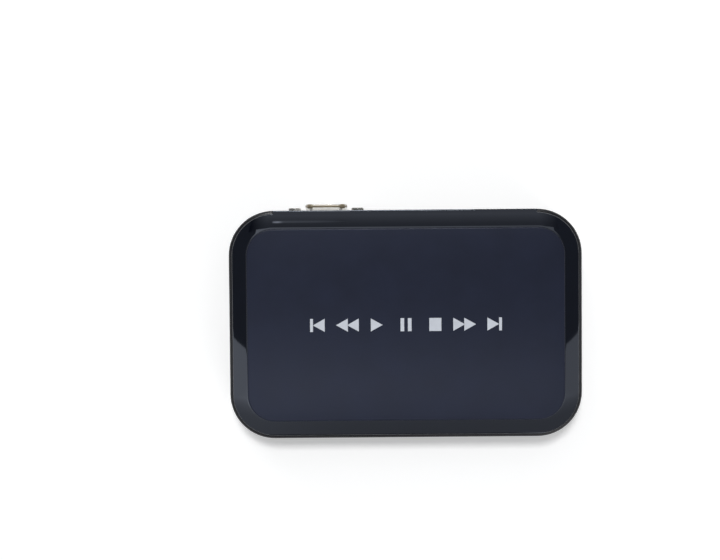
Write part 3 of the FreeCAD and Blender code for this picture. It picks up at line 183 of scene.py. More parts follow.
def bezier(a, b, c, steps):
    """Points of a quadratic curve from a to c that is drawn towards b."""
    points = []
    for step in range(steps + 1):
        t = step / steps
        points.append(tuple((1 - t) ** 2 * p + 2 * t * (1 - t) * q + t ** 2 * r for p, q, r in zip(a, b, c)))
    return points


def node_copy(node, name):
    """A welded copy of a CAD node's mesh in a new object."""
    mesh = NODES[node].data.copy()
    work = bmesh.new()
    work.from_mesh(mesh)
    bmesh.ops.remove_doubles(work, verts=work.verts, dist=0.5 * HAIR)
    work.to_mesh(mesh)
    work.free()
    for attribute in ("custom_normal", "sharp_edge", "sharp_face"):
        if attribute in mesh.attributes:
            mesh.attributes.remove(mesh.attributes[attribute])
    return added(name, mesh)


def apply_modifiers(made):
    """Turns a piece's modifiers into its mesh."""
    graph = bpy.context.evaluated_depsgraph_get()
    mesh = bpy.data.meshes.new_from_object(made.evaluated_get(graph))
    made.modifiers.clear()
    old = made.data
    made.data = mesh
    bpy.data.meshes.remove(old)


def combined(made, tool, operation):
    """Combines a piece with a tool, which is then removed."""
    change = made.modifiers.new("combine", "BOOLEAN")
    change.operation = operation
    change.solver = "EXACT"
    change.object = tool
    apply_modifiers(made)
    mesh = tool.data
    bpy.data.objects.remove(tool)
    bpy.data.meshes.remove(mesh)


def trimmed(made, *forms):
    """Keeps what lies inside any of the closed forms, which may overlap."""
    tool = solid("tool", forms[0])
    for form in forms[1:]:
        combined(tool, solid("tool", form), "UNION")
    combined(made, tool, "INTERSECT")


def cut(made, *forms):
    """Cuts each closed form out of a piece."""
    for form in forms:
        combined(made, solid("tool", form), "DIFFERENCE")


# The two directions of an outline's plane for each direction that it is drawn out along.
PLANES = {
    "x": (Vector((0, 1, 0)), Vector((0, 0, 1)), Vector((1, 0, 0))),
    "y": (Vector((1, 0, 0)), Vector((0, 0, 1)), Vector((0, 1, 0))),
    "z": (Vector((1, 0, 0)), Vector((0, 1, 0)), Vector((0, 0, 1))),
}


def extruded(outline, axis, start, end):
    """A closed prism of an outline of (across, up) points."""
    across, up, along = PLANES[axis]
    return lofted([[across * a + up * b + along * at for a, b in outline] for at in (start, end)])


def around(count):
    """Angles round a circle, in radians."""
    return [2 * math.pi * number / count for number in range(count)]


def circle(radius, centre, count):
    """Points round a circle."""
    return [(centre[0] + radius * math.cos(a), centre[1] + radius * math.sin(a)) for a in around(count)]


def turned_rings(profile, axis, centre, count=32):
    """Rings of points for a profile of (radius, place along the axis)."""
    across, up, along = PLANES[axis]
    rings = []
    for radius, at in profile:
        rings.append([across * a + up * b + along * at for a, b in circle(radius, centre, count)])
    return rings


def turned(profile, axis, centre, count=32):
    """A closed turned form."""
    return lofted(turned_rings(profile, axis, centre, count))


def belt(rings):
    """Vertices and faces of a closed belt: rings that lead back to the first."""
    count = len(rings[0])
    verts = [point for ring in rings for point in ring]
    faces = []
    for level in range(len(rings)):
        here = level * count
        there = (level + 1) % len(rings) * count
        for number in range(count):
            after = (number + 1) % count
            faces.append((here + number, here + after, there + after, there + number))
    return verts, faces


def gathered(forms):
    """One set of vertices and faces from several forms."""
    verts, faces = [], []
    for more, sides in forms:
        faces += [tuple(v + len(verts) for v in face) for face in sides]
        verts += more
    return verts, faces


def remade(node, name, body, kept=(), removed=()):
    """A piece in place of a node: its form, trimmed to the kept forms, with the removed ones cut out."""
    made = node_copy(node, name)
    if kept:
        trimmed(made, *kept)
    cut(made, *removed)
    shade(made.data, NODE_SHARP)
    dress(made, body, SLOTS[node], [node])


# ---- Materials ----

def material(name, colour, roughness, **sockets):
    """A principled material; the caller adds its detail."""
    made = bpy.data.materials.new(name)
    made.use_nodes = True
    shader = made.node_tree.nodes["Principled BSDF"]
    shader.inputs["Base Color"].default_value = (*colour, 1)
    shader.inputs["Roughness"].default_value = roughness
    for socket, value in sockets.items():
        shader.inputs[socket.replace("_", " ")].default_value = value
    return made


def place(made, stretch=(1, 1, 1)):
    """Object coordinates, stretched."""
    tree = made.node_tree
    where = tree.nodes.new("ShaderNodeTexCoord")
    mapping = tree.nodes.new("ShaderNodeMapping")
    mapping.inputs["Scale"].default_value = stretch
    tree.links.new(where.outputs["Object"], mapping.inputs["Vector"])
    return mapping.outputs["Vector"]


def noise(made, size, detail, stretch=(1, 1, 1)):
    """Noise whose spots are about this many metres across."""
    tree = made.node_tree
    spots = tree.nodes.new("ShaderNodeTexNoise")
    spots.inputs["Scale"].default_value = 1 / size
    spots.inputs["Detail"].default_value = detail
    tree.links.new(place(made, stretch), spots.inputs["Vector"])
    return spots.outputs["Fac"]


def bumped(made, fac, depth):
    """Adds a height of this many metres to the surface's normal."""
    tree = made.node_tree
    shader = tree.nodes["Principled BSDF"]
    bump = tree.nodes.new("ShaderNodeBump")
    bump.inputs["Distance"].default_value = depth
    tree.links.new(fac, bump.inputs["Height"])
    if shader.inputs["Normal"].is_linked:
        tree.links.new(shader.inputs["Normal"].links[0].from_socket, bump.inputs["Normal"])
    tree.links.new(bump.outputs["Normal"], shader.inputs["Normal"])


# The values between which most noise lies, so that a spread between them is used in full.
NOISE_SPAN = (0.3, 0.7)


def ranged(tree, value, span, to=(0, 1)):
    """A value spread from one span of numbers to another."""
    spread = tree.nodes.new("ShaderNodeMapRange")
    for socket, limit in zip(("From Min", "From Max", "To Min", "To Max"), (*span, *to)):
        spread.inputs[socket].default_value = limit
    tree.links.new(value, spread.inputs["Value"])
    return spread.outputs["Result"]


def mottled(made, fac, dark, light):
    """Colours the surface between two colours."""
    tree = made.node_tree
    ramp = tree.nodes.new("ShaderNodeValToRGB")
    for element, position, colour in zip(ramp.color_ramp.elements, NOISE_SPAN, (dark, light)):
        element.position = position
        element.color = (*colour, 1)
    tree.links.new(fac, ramp.inputs["Fac"])
    tree.links.new(ramp.outputs["Color"], tree.nodes["Principled BSDF"].inputs["Base Color"])


def roughened(made, fac, least, most):
    """Spreads the roughness between two values."""
    tree = made.node_tree
    spread = ranged(tree, fac, NOISE_SPAN, (least, most))
    tree.links.new(spread, tree.nodes["Principled BSDF"].inputs["Roughness"])


def tinted(colour, share):
    """A colour, darker or lighter by a share."""
    return tuple(min(1.0, part * share) for part in colour)


def grained(name, colour, roughness, grain, depth, spread=0.12, patch=6 * MM, drift=0.03, **sockets):
    """A moulded, cast or painted surface: fine grain, with slow drifts of colour and roughness."""
    made = material(name, colour, roughness, **sockets)
    mottled(made, noise(made, patch, detail=3), tinted(colour, 1 - spread), tinted(colour, 1 + spread))
    roughened(made, noise(made, patch / 2, detail=4), roughness - drift, roughness + drift)
    bumped(made, noise(made, grain, detail=2), depth)
    return made


# How noise is stretched into lines along an axis.
LINES = {"x": (0.05, 1, 1), "y": (1, 0.05, 1), "z": (1, 1, 0.05)}
BRUSH_TINT_LINE = 0.25 * MM
BRUSH_SHINE_LINE = 0.4 * MM
BRUSH_LINE = 0.2 * MM
BRUSH_DEPTH = 0.0025 * MM
BRUSH_TINTS = (0.93, 1.06)
BRUSH_DRIFT = 0.03


def brushed(name, colour, roughness, axis):
    """Rolled or brushed metal with fine lines along one axis."""
    made = material(name, colour, roughness, Metallic=1.0)
    stretch = LINES[axis]
    shine = noise(made, BRUSH_SHINE_LINE, 2, stretch)
    mottled(made, noise(made, BRUSH_TINT_LINE, 3, stretch), *[tinted(colour, share) for share in BRUSH_TINTS])
    roughened(made, shine, roughness - BRUSH_DRIFT, roughness + BRUSH_DRIFT)
    bumped(made, noise(made, BRUSH_LINE, 2, stretch), BRUSH_DEPTH)
    return made


CRYSTAL = 1.6 * MM
CRYSTAL_GRAIN = 0.5 * MM
CRYSTAL_DEPTH = 0.003 * MM
CRYSTAL_TINTS = (0.95, 1.05)
CRYSTAL_SMOOTHER, CRYSTAL_ROUGHER = 0.03, 0.05


def spangled(name, colour, roughness):
    """Zinc plated sheet: small crystals of slightly different brightness."""
    made = material(name, colour, roughness, Metallic=1.0)
    tree = made.node_tree
    crystals = tree.nodes.new("ShaderNodeTexVoronoi")
    crystals.inputs["Scale"].default_value = 1 / CRYSTAL
    tree.links.new(place(made), crystals.inputs["Vector"])
    grey = tree.nodes.new("ShaderNodeRGBToBW")
    tree.links.new(crystals.outputs["Color"], grey.inputs["Color"])
    mottled(made, grey.outputs["Val"], *[tinted(colour, share) for share in CRYSTAL_TINTS])
    roughened(made, grey.outputs["Val"], roughness - CRYSTAL_SMOOTHER, roughness + CRYSTAL_ROUGHER)
    bumped(made, noise(made, CRYSTAL_GRAIN, 3), CRYSTAL_DEPTH)
    return made


TRACK_FIELD = 6 * MM
TRACK_SHARE = 0.05
TRACK_HEIGHT = 0.03 * MM
TRACK_TINT = 1.7
RESIST_PATCH = 3 * MM
RESIST_DRIFT = 0.05
BLACK, WHITE = (0, 0, 0, 1), (1, 1, 1, 1)


def circuit(name, colour, roughness):
    """Solder resist over copper tracks, which stand up a little and show lighter."""
    made = material(name, colour, roughness)
    tree = made.node_tree
    tracks = tree.nodes.new("ShaderNodeTexBrick")
    tracks.inputs["Scale"].default_value = 1 / TRACK_FIELD
    tracks.inputs["Mortar Size"].default_value = TRACK_SHARE
    for socket, level in (("Color1", BLACK), ("Color2", BLACK), ("Mortar", WHITE)):
        tracks.inputs[socket].default_value = level
    tree.links.new(place(made), tracks.inputs["Vector"])
    mottled(made, tracks.outputs["Color"], colour, tinted(colour, TRACK_TINT))
    bumped(made, tracks.outputs["Color"], TRACK_HEIGHT)
    roughened(made, noise(made, RESIST_PATCH, 3), roughness - RESIST_DRIFT, roughness + RESIST_DRIFT)
    return made


MATERIALS = {
    "case_black": grained("case_black", (0.0050, 0.0055, 0.0082), 0.34, 0.22 * MM, 0.008 * MM,
                          Specular_IOR_Level=0.27),
    "cover_gloss": grained("cover_gloss", (0.0022, 0.0028, 0.0060), 0.03, 1.2 * MM, 0.0005 * MM,
                           drift=0.006, Specular_IOR_Level=0.6, Specular_Tint=(0.76, 0.84, 1.0, 1)),
    "plate_satin": grained("plate_satin", (0.0070, 0.0092, 0.0210), 0.42, 0.34 * MM, 0.013 * MM,
                           patch=14 * MM, drift=0.012, Specular_IOR_Level=0.27,
                           Specular_Tint=(0.80, 0.86, 1.0, 1)),
    "panel_black": grained("panel_black", (0.010, 0.010, 0.0115), 0.5, 0.3 * MM, 0.012 * MM,
                           Specular_IOR_Level=0.4),
    "foot_rubber": grained("foot_rubber", (0.016, 0.016, 0.016), 0.75, 0.35 * MM, 0.02 * MM),
    "screw_black": grained("screw_black", (0.03, 0.03, 0.034), 0.35, 0.3 * MM, 0.004 * MM, Metallic=0.8),
    "screw_steel": brushed("screw_steel", (0.60, 0.60, 0.61), 0.28, "x"),
    "board_green": circuit("board_green", (0.010, 0.085, 0.038), 0.35),
    "chip_black": grained("chip_black", (0.02, 0.02, 0.022), 0.6, 0.2 * MM, 0.008 * MM),
    "sink_aluminium": brushed("sink_aluminium", (0.60, 0.61, 0.63), 0.35, "y"),
    "can_aluminium": brushed("can_aluminium", (0.75, 0.75, 0.76), 0.3, "z"),
    "choke_grey": grained("choke_grey", (0.12, 0.12, 0.125), 0.6, 0.2 * MM, 0.01 * MM),
    "window_smoke": grained("window_smoke", (0.022, 0.005, 0.008), 0.06, 2 * MM, 0.0004 * MM, drift=0.01,
                            Transmission_Weight=0.6),
    "receiver_black": grained("receiver_black", (0.02, 0.012, 0.02), 0.15, 1 * MM, 0.001 * MM),
    "lamp_white": grained("lamp_white", (0.75, 0.78, 0.80), 0.3, 0.5 * MM, 0.002 * MM),
    "pipe_clear": grained("pipe_clear", (0.85, 0.88, 0.90), 0.1, 1 * MM, 0.0005 * MM,
                          Transmission_Weight=0.9),
    "socket_metal": brushed("socket_metal", (0.62, 0.61, 0.58), 0.27, "x"),
    "video_blue": grained("video_blue", (0.02, 0.07, 0.30), 0.4, 0.3 * MM, 0.006 * MM),
    "socket_black": grained("socket_black", (0.013, 0.013, 0.0145), 0.42, 0.3 * MM, 0.008 * MM),
    "pin_brass": brushed("pin_brass", (0.80, 0.62, 0.30), 0.22, "y"),
    "drive_aluminium": grained("drive_aluminium", (0.40, 0.41, 0.42), 0.42, 0.35 * MM, 0.02 * MM,
                               spread=0.05, Metallic=1.0),
    "drive_steel": brushed("drive_steel", (0.64, 0.64, 0.65), 0.27, "x"),
    "tray_steel": spangled("tray_steel", (0.56, 0.57, 0.58), 0.33),
    "spring_steel": brushed("spring_steel", (0.50, 0.50, 0.52), 0.25, "z"),
}

# Looks of pieces that share another piece's slot.
SYMBOL_GREY = grained("symbol_grey", (0.52, 0.55, 0.61), 0.5, 0.2 * MM, 0.004 * MM, spread=0.04)
# The video socket's lip is a dark tan, rougher and less metallic than the socket's shell.
DARK_TAN_LIP = grained("dark_tan_lip", (0.25, 0.21, 0.145), 0.45, 0.3 * MM, 0.004 * MM, Metallic=0.7)


# ---- Carried-over CAD nodes ----

# How wide the small bevels are that moulding and pressing leave on these nodes' edges.
EASES = {
    "rubber_feet": 0.3 * MM,
    "rear_panel": 0.12 * MM,
    "front_window": 0.12 * MM,
    "drive_tray": 0.08 * MM,
    "video_shell": 0.08 * MM,
    "digital_shell": 0.08 * MM,
    "usb_shell": 0.08 * MM,
}


def finish_nodes():
    """Every CAD node takes the material of its slot."""
    for node, slot in SLOTS.items():
        mesh = NODES[node].data
        mesh.materials.clear()
        mesh.materials.append(MATERIALS[slot])


def ease_nodes():
    """Rounds the sharp edges of some CAD nodes a little."""
    for node, width in EASES.items():
        weld = NODES[node].modifiers.new("weld", "WELD")
        weld.merge_threshold = 0.5 * HAIR
        bevel = NODES[node].modifiers.new("ease", "BEVEL")
        bevel.width = width
        bevel.segments = 2
        bevel.limit_method = "ANGLE"
        bevel.angle_limit = math.radians(PIECE_SHARP)
        bevel.harden_normals = True


# ---- Case, cover and plate ----

BOTTOM_ROUND = 2.3 * MM
SHOULDER_ROUND = 1.0 * MM
RIM_CREST = 1.15 * MM
RIM_TURN = 0.3 * RIM_CREST
WALL_ROUND = 0.7 * MM
BAND_START = 0.25 * MM
BAND_OUTER_SLOPE = math.radians(20)
BAND_INNER_SLOPE = math.radians(12)
RIM_FLAT = 0.25 * MM
BROW_HALF = HALF.x - CORNER
BROW_ROUND = 0.28 * MM
PLATE_ROUND = 0.62 * MM
PRINT = 0.03 * MM


def case_outline():
    """The smooth outside of the case, with rounded shoulder and bottom edges."""
    rings = []
    for angle in arc(EDGE_STEPS):
        inset = HAIR + BOTTOM_ROUND * (1 - math.sin(angle))
        rings.append(rounded_ring(inset, CASE_LOW.z + HAIR + BOTTOM_ROUND * (1 - math.cos(angle))))
    outer = (HAIR, RIM_TOP - HAIR - SHOULDER_ROUND)
    turn_in = (RIM_TURN, RIM_TOP - HAIR - RIM_TURN)
    for inset, z in bezier(outer, turn_in, (RIM_CREST, RIM_TOP - HAIR), EDGE_STEPS):
        rings.append(rounded_ring(inset, z))
    return lofted(rings)


def case_piece():
    """The case, trimmed to its smooth outside."""
    remade("bottom_case", "case_shell", "case", kept=[case_outline()])


def bezel_piece():
    """The tray's bezel, which carries the case's smooth outside on."""
    remade("tray_bezel", "bezel_shell", "tray", kept=[case_outline()])


def band_points():
    """(inset, height) of the band's main points: its start at the wall, its crease and the plate's rim."""
    rim = (PLATE_INSET - RIM_FLAT, COVER_HIGH.z - HAIR)
    start_inset = COVER_INSET + BAND_START
    run = (rim[0] - start_inset) / 2
    crease = (rim[0] - run, rim[1] - run * math.tan(BAND_INNER_SLOPE))
    start = (start_inset, crease[1] - run * math.tan(BAND_OUTER_SLOPE))
    return start, crease, rim


def band_profile():
    """(inset, height) up the cover's wall, round its edge and in along the band to the plate's rim."""
    start, crease, rim = band_points()
    wall = COVER_INSET + HAIR
    edge = (wall, start[1] - (start[0] - wall) * math.tan(BAND_OUTER_SLOPE))
    foot = (wall, edge[1] - WALL_ROUND)
    return bezier(foot, edge, start, EDGE_STEPS) + bezier(start, crease, rim, BAND_STEPS)[1:]


def brow_form():
    """The band carried on at its own slope over the rear recess, out to the case's outline."""
    start = band_points()[0]
    slope = math.tan(BAND_OUTER_SLOPE)
    outer = CASE_HIGH.y - HAIR
    edge = (outer, start[1] - (start[0] - HAIR) * slope)
    turn_in = (outer - BROW_ROUND, edge[1] + BROW_ROUND * slope)
    inner = CASE_HIGH.y - start[0]
    floor = COVER_LOW.z - SPARE
    section = bezier((outer, edge[1] - BROW_ROUND), edge, turn_in, BROW_STEPS)
    section += [(inner, start[1]), (inner, floor), (outer, floor)]
    return extruded(section, "x", CENTRE.x - BROW_HALF + HAIR, CENTRE.x + BROW_HALF - HAIR)


def cover_piece():
    """The glossy cover, trimmed to a smooth crowned band with its brow at the rear."""
    rings = [rounded_ring(COVER_INSET + HAIR, COVER_LOW.z - SPARE)]
    rings += [rounded_ring(inset, z) for inset, z in band_profile()]
    remade("top_cover", "cover_shell", "case", kept=[lofted(rings), brow_form()])


def plate_piece():
    """The satin plate let into the cover, with a rounded edge."""
    rings = [rounded_ring(PLATE_INSET, PLATE_LOW.z)]
    top = PLATE_HIGH.z - PRINT
    for angle in arc(PLATE_STEPS):
        inset = PLATE_INSET + PLATE_ROUND * (1 - math.cos(angle))
        rings.append(rounded_ring(inset, top - PLATE_ROUND * (1 - math.sin(angle))))
    piece("cover_plate", lofted(rings), "case", "plate_satin", ["top_plate"])


# ---- Printed symbols ----

SYMBOL_TALL = 5.1 * MM
SYMBOL_PITCH = 11.4 * MM
ARROW_HALF = 0.45 * SYMBOL_TALL
ARROW_PAIR = 0.42 * SYMBOL_TALL
STEP_ARROW = 0.05 * SYMBOL_TALL
STEP_BAR = 0.5 * SYMBOL_TALL
BAR_WIDE = 0.22 * SYMBOL_TALL
PAUSE_PAIR = 0.28 * SYMBOL_TALL
PAUSE_WIDE = 0.28 * SYMBOL_TALL
STOP_WIDE = 0.92 * SYMBOL_TALL


def arrow(x, way):
    """A triangle round x that points one way along the row."""
    half = SYMBOL_TALL / 2
    back, tip = x - way * ARROW_HALF, x + way * ARROW_HALF
    return [(back, -half), (tip, 0), (back, half)]


def bar(x, wide):
    """An upright bar round x."""
    half = SYMBOL_TALL / 2
    left, right = x - wide / 2, x + wide / 2
    return [(left, -half), (right, -half), (right, half), (left, half)]


# The outlines of previous, rewind, play, pause, stop, forward and next, each round its own middle.
SYMBOLS = (
    (bar(-STEP_BAR, BAR_WIDE), arrow(STEP_ARROW, -1)),
    (arrow(-ARROW_PAIR, -1), arrow(ARROW_PAIR, -1)),
    (arrow(0, 1),),
    (bar(-PAUSE_PAIR, PAUSE_WIDE), bar(PAUSE_PAIR, PAUSE_WIDE)),
    (bar(0, STOP_WIDE),),
    (arrow(-ARROW_PAIR, 1), arrow(ARROW_PAIR, 1)),
    (arrow(-STEP_ARROW, 1), bar(STEP_BAR, BAR_WIDE)),
)


def symbols_piece():
    """Generic transport symbols printed in a row across the middle of the plate."""
    at = middle("top_plate")
    bottom, top = PLATE_HIGH.z - 2 * PRINT, PLATE_HIGH.z - 0.2 * PRINT
    forms = []
    for number, outlines in enumerate(SYMBOLS):
        shift = (number - (len(SYMBOLS) - 1) / 2) * SYMBOL_PITCH
        for outline in outlines:
            moved = [(x + shift + at.x, y + at.y) for x, y in outline]
            forms.append(extruded(moved, "z", bottom, top))
    piece("plate_symbols", gathered(forms), "case", "plate_satin", material_of=SYMBOL_GREY)


# ---- Rear sockets ----

# The video socket is a D whose sides lean by D_SLOPE degrees, with a rolled lip round its mouth.
D_WIDTH = 16.3 * MM
D_TALL = 8.3 * MM
D_CORNER = 2.4 * MM
D_SLOPE = 10
D_SHEET = 0.5 * MM
D_STEPS = 8
LIP_RADIUS = 0.6 * MM
LIP_SWELL = 0.35 * MM
LIP_PROUD = 0.1 * MM
LIP_STEPS = 12
LIP_SHARP = 60
PIN_PITCH = 2.29 * MM
ROW_PITCH = 1.98 * MM
PINS_IN_ROW = 5
PIN_HOLE = 0.5 * MM
PIN_HOLE_DEPTH = 3 * MM
PIN_MOUTH = 1.5 * PIN_HOLE
PIN_MOUTH_DEPTH = 0.4 * PIN_HOLE
HEX_CHAMFER = 0.55 * MM
THREAD_PITCH = 0.635 * MM
THREAD_DEPTH = 0.22 * MM
THREAD_TURNS = 5


def d_points(grow, swell):
    """(across, up, share) round the video socket's D, grown outwards and swollen by share at its corners."""
    low_x = D_WIDTH / 2 - D_CORNER
    lift = D_TALL / 2 - D_CORNER
    high_x = low_x - 2 * lift * math.tan(math.radians(D_SLOPE))
    corners = ((low_x, -lift, -90, D_SLOPE), (high_x, lift, D_SLOPE, 90),
               (-high_x, lift, 90, 180 - D_SLOPE), (-low_x, -lift, 180 - D_SLOPE, 270))
    points = []
    for x, z, start, end in corners:
        for step in range(D_STEPS + 1):
            angle = math.radians(start + (end - start) * step / D_STEPS)
            share = math.sin(math.pi * step / D_STEPS) ** 0.5
            reach = D_CORNER + grow + swell * share
            points.append((x + reach * math.cos(angle), z + reach * math.sin(angle), share))
    return points


def video_lip():
    """The rolled bead round the mouth of the D, thicker at its corners, in a dark tan metal."""
    at = middle("video_shell")
    centre = high("video_shell").y - LIP_RADIUS - LIP_SWELL - HAIR
    rings = []
    for angle in around(LIP_STEPS):
        grow = (D_SHEET / 2 + LIP_PROUD) * math.cos(angle) - D_SHEET / 2
        ring = []
        for x, z, share in d_points(grow, 2 * LIP_PROUD * math.cos(angle)):
            y = centre + (LIP_RADIUS + LIP_SWELL * share) * math.sin(angle)
            ring.append(Vector((at.x + x, y, at.z + z)))
        rings.append(ring)
    piece("video_lip", belt(rings), "case", "socket_metal", sharp=LIP_SHARP, material_of=DARK_TAN_LIP)


def video_face():
    """The blue contact block with its fifteen holes in three rows."""
    at = middle("video_shell")
    face = high("video_insulator").y
    profile = [(PIN_HOLE, face - PIN_HOLE_DEPTH), (PIN_HOLE, face - PIN_MOUTH_DEPTH),
               (PIN_MOUTH, face + HAIR)]
    holes = []
    for row in (-1, 0, 1):
        shift = PIN_PITCH / 4 if row == 0 else -PIN_PITCH / 4
        for number in range(PINS_IN_ROW):
            x = at.x + (number - (PINS_IN_ROW - 1) / 2) * PIN_PITCH + shift
            holes.append(turned(profile, "y", (x, at.z + row * ROW_PITCH), count=12))
    remade("video_insulator", "video_face", "case", removed=[gathered(holes)])


def thread_profile(bore, face):
    """(radius, place) along the thread of a bore, out to the face that it opens at."""
    thread = [(bore - THREAD_DEPTH, face - (THREAD_TURNS + 0.5) * THREAD_PITCH)]
    for number in range(THREAD_TURNS, 0, -1):
        thread.append((bore + THREAD_DEPTH, face - number * THREAD_PITCH))
        thread.append((bore - THREAD_DEPTH, face - (number - 0.5) * THREAD_PITCH))
    thread.append((bore + THREAD_DEPTH, face + HAIR))
    return thread


def jackscrews():
    """The two hexagonal jackscrews with chamfered ends and threaded bores."""
    dims = MOUNTS["video_screws"]["dims"]
    at = middle("video_jackscrews")
    back, face = low("video_jackscrews").y, high("video_jackscrews").y
    corner = high("video_jackscrews").z - at.z
    centres = [(at.x + side * dims["spacing_x_mm"] * MM / 2, at.z) for side in (-1, 1)]
    hexes = [(corner + SPARE, back - SPARE), (corner + SPARE, face - 2 * HEX_CHAMFER),
             (corner - HEX_CHAMFER, face + HAIR)]
    thread = thread_profile(dims["hole_r_mm"] * MM, face)
    remade("video_jackscrews", "jackscrews", "case",
           kept=[gathered([turned(hexes, "y", centre, count=48) for centre in centres])],
           removed=[gathered([turned(thread, "y", centre, count=24) for centre in centres])])


RING_WIDTH = 0.55 * MM
RING_PROUD = 0.14 * MM
RING_SUNK = 0.4 * MM


def jack_rings():
    """Nickel bushings round the mouths of the two round jacks."""
    face = high("round_jacks").y
    crest, ease = face + RING_PROUD, RING_PROUD / 2
    forms = []
    for mount in (MOUNTS["picture_jack"], MOUNTS["sound_jack"]):
        inner = mount["dims"]["r_mm"] * MM + HAIR
        outer = inner + RING_WIDTH
        section = [(inner, face - RING_SUNK), (inner, crest - ease), (inner + ease, crest),
                   (outer - ease, crest), (outer, crest - ease), (outer, face - RING_SUNK)]
        forms.append(belt(turned_rings(section, "y", (mount["pos_m"][0], mount["pos_m"][2]))))
    piece("jack_rings", gathered(forms), "case", "socket_metal")


CONTACT_SHEET = 0.06 * MM
DIGITAL_CONTACT = 0.45 * MM
DIGITAL_PITCH = 1.0 * MM
DIGITAL_TONGUE = 1.2 * MM
DIGITAL_LENGTH = 7 * MM
TIP_SET_BACK = 0.3 * MM
TIP_BEVEL = 0.24 * MM


def digital_contact(x, tip, face, side):
    """A flat contact on one side of the tongue, bevelled at its tip."""
    back, top = tip - DIGITAL_LENGTH, face + side * CONTACT_SHEET
    outline = [(tip, face), (tip - TIP_BEVEL, top), (back, top), (back, face)]
    return extruded(outline, "x", x - DIGITAL_CONTACT / 2, x + DIGITAL_CONTACT / 2)


def digital_contacts():
    """Ten contacts on top of the digital socket's tongue and nine below it."""
    at = middle("digital_tongue")
    tip = high("digital_tongue").y - TIP_SET_BACK
    forms = []
    for side, count in ((1, 10), (-1, 9)):
        for number in range(count):
            x = at.x + (number - (count - 1) / 2) * DIGITAL_PITCH
            forms.append(digital_contact(x, tip, at.z + side * DIGITAL_TONGUE / 2, side))
    piece("digital_contacts", gathered(forms), "case", "pin_brass")


# ---- USB socket ----

USB_CONTACT = 1.0 * MM
USB_CONTACT_PLACES = (-3.5 * MM, -1.0 * MM, 1.0 * MM, 3.5 * MM)
USB_CONTACT_LENGTH = 7.5 * MM
USB_TONGUE_TALL = 1.8 * MM
USB_TONGUE_DOWN = 0.2 * MM
USB_BUMP = 0.35 * MM
FINGER_WIDTH = 2.2 * MM
FINGER_PLACES = (-3.3 * MM, 3.3 * MM)
FINGER_START = 1.4 * MM
FINGER_LENGTH = 6.5 * MM
FINGER_RISE = 0.55 * MM
FINGER_SHEET = 0.25 * MM
USB_SHEET = 0.35 * MM
HUMP = ((0, 0), (0.35, 0.55), (0.6, 1), (0.75, 0.9), (1, 0.1))


def bent_strip(start, length, face, rise, thick, y, width):
    """A strip along X that bends away from a face and back, as a low hump."""
    lower = [(start + length * share, face + rise * height) for share, height in HUMP]
    upper = [(x, z + math.copysign(thick, rise)) for x, z in reversed(lower)]
    return extruded(lower + upper, "y", y - width / 2, y + width / 2)


def usb_contacts():
    """Four spring contacts under the USB socket's tongue."""
    y = middle("usb_tongue").y
    face = high("usb_tongue").z - USB_TONGUE_DOWN - USB_TONGUE_TALL
    start = low("usb_tongue").x + TIP_SET_BACK
    forms = [bent_strip(start, USB_CONTACT_LENGTH, face, -USB_BUMP, CONTACT_SHEET, y + shift, USB_CONTACT)
             for shift in USB_CONTACT_PLACES]
    piece("usb_contacts", gathered(forms), "case", "pin_brass")


def usb_fingers():
    """Two spring fingers that stand up from the floor of the USB socket's shell."""
    y = middle("usb_shell").y
    floor = low("usb_shell").z + USB_SHEET - HAIR
    start = low("usb_shell").x + FINGER_START
    forms = [bent_strip(start, FINGER_LENGTH, floor, FINGER_RISE, FINGER_SHEET, y + shift, FINGER_WIDTH)
             for shift in FINGER_PLACES]
    piece("usb_fingers", gathered(forms), "case", "socket_metal")


# ---- Screws ----

CASE_SCREW_HEAD = 2.3 * MM
CASE_CROSS = 1.45 * MM
DRIVE_SCREW_HEAD = 2.8 * MM
DRIVE_CROSS = 1.5 * MM
CROSS_DEPTH = 0.85 * MM
CROSS_SLOT = 0.33 * MM
CROSS_TAPER = 0.4


def cross(reach, slot):
    """The outline of a cross, one arm after another."""
    points = []
    for across, up in ((1, 1), (-1, 1), (-1, -1), (1, -1)):
        corner = [(across * reach, up * slot), (across * slot, up * slot), (across * slot, up * reach)]
        points += corner if across == up else reversed(corner)
    return points


def cross_recess(x, y, face, reach):
    """A tapering cross recess that goes up into a head from its face."""
    rings = []
    for z, wide in ((face - HAIR, 1.0), (face + CROSS_DEPTH, CROSS_TAPER)):
        outline = cross(reach * wide, CROSS_SLOT * (1 + wide) / 2)
        rings.append([Vector((x + a, y + b, z)) for a, b in outline])
    return lofted(rings)


def screws(node, name, body, places, reach):
    """A group of screws whose heads face down, with cross recesses."""
    face = low(node).z
    remade(node, name, body, removed=[gathered([cross_recess(x, y, face, reach) for x, y in places])])


def corners_of(node, inset):
    """The four points inside the corners of a node's box, set in by the same length both ways."""
    box_low, box_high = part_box(node)
    return [(x, y) for x in (box_low.x + inset, box_high.x - inset)
            for y in (box_low.y + inset, box_high.y - inset)]


def case_screws():
    """The two screws under the case."""
    y = middle("case_screws").y
    places = [(low("case_screws").x + CASE_SCREW_HEAD, y), (high("case_screws").x - CASE_SCREW_HEAD, y)]
    screws("case_screws", "case_screw_pair", "case", places, CASE_CROSS)


def drive_screws():
    """The four screws that hold the drive in its tray."""
    places = corners_of("drive_screws", DRIVE_SCREW_HEAD)
    screws("drive_screws", "drive_screw_set", "tray", places, DRIVE_CROSS)


# ---- Hard drive ----

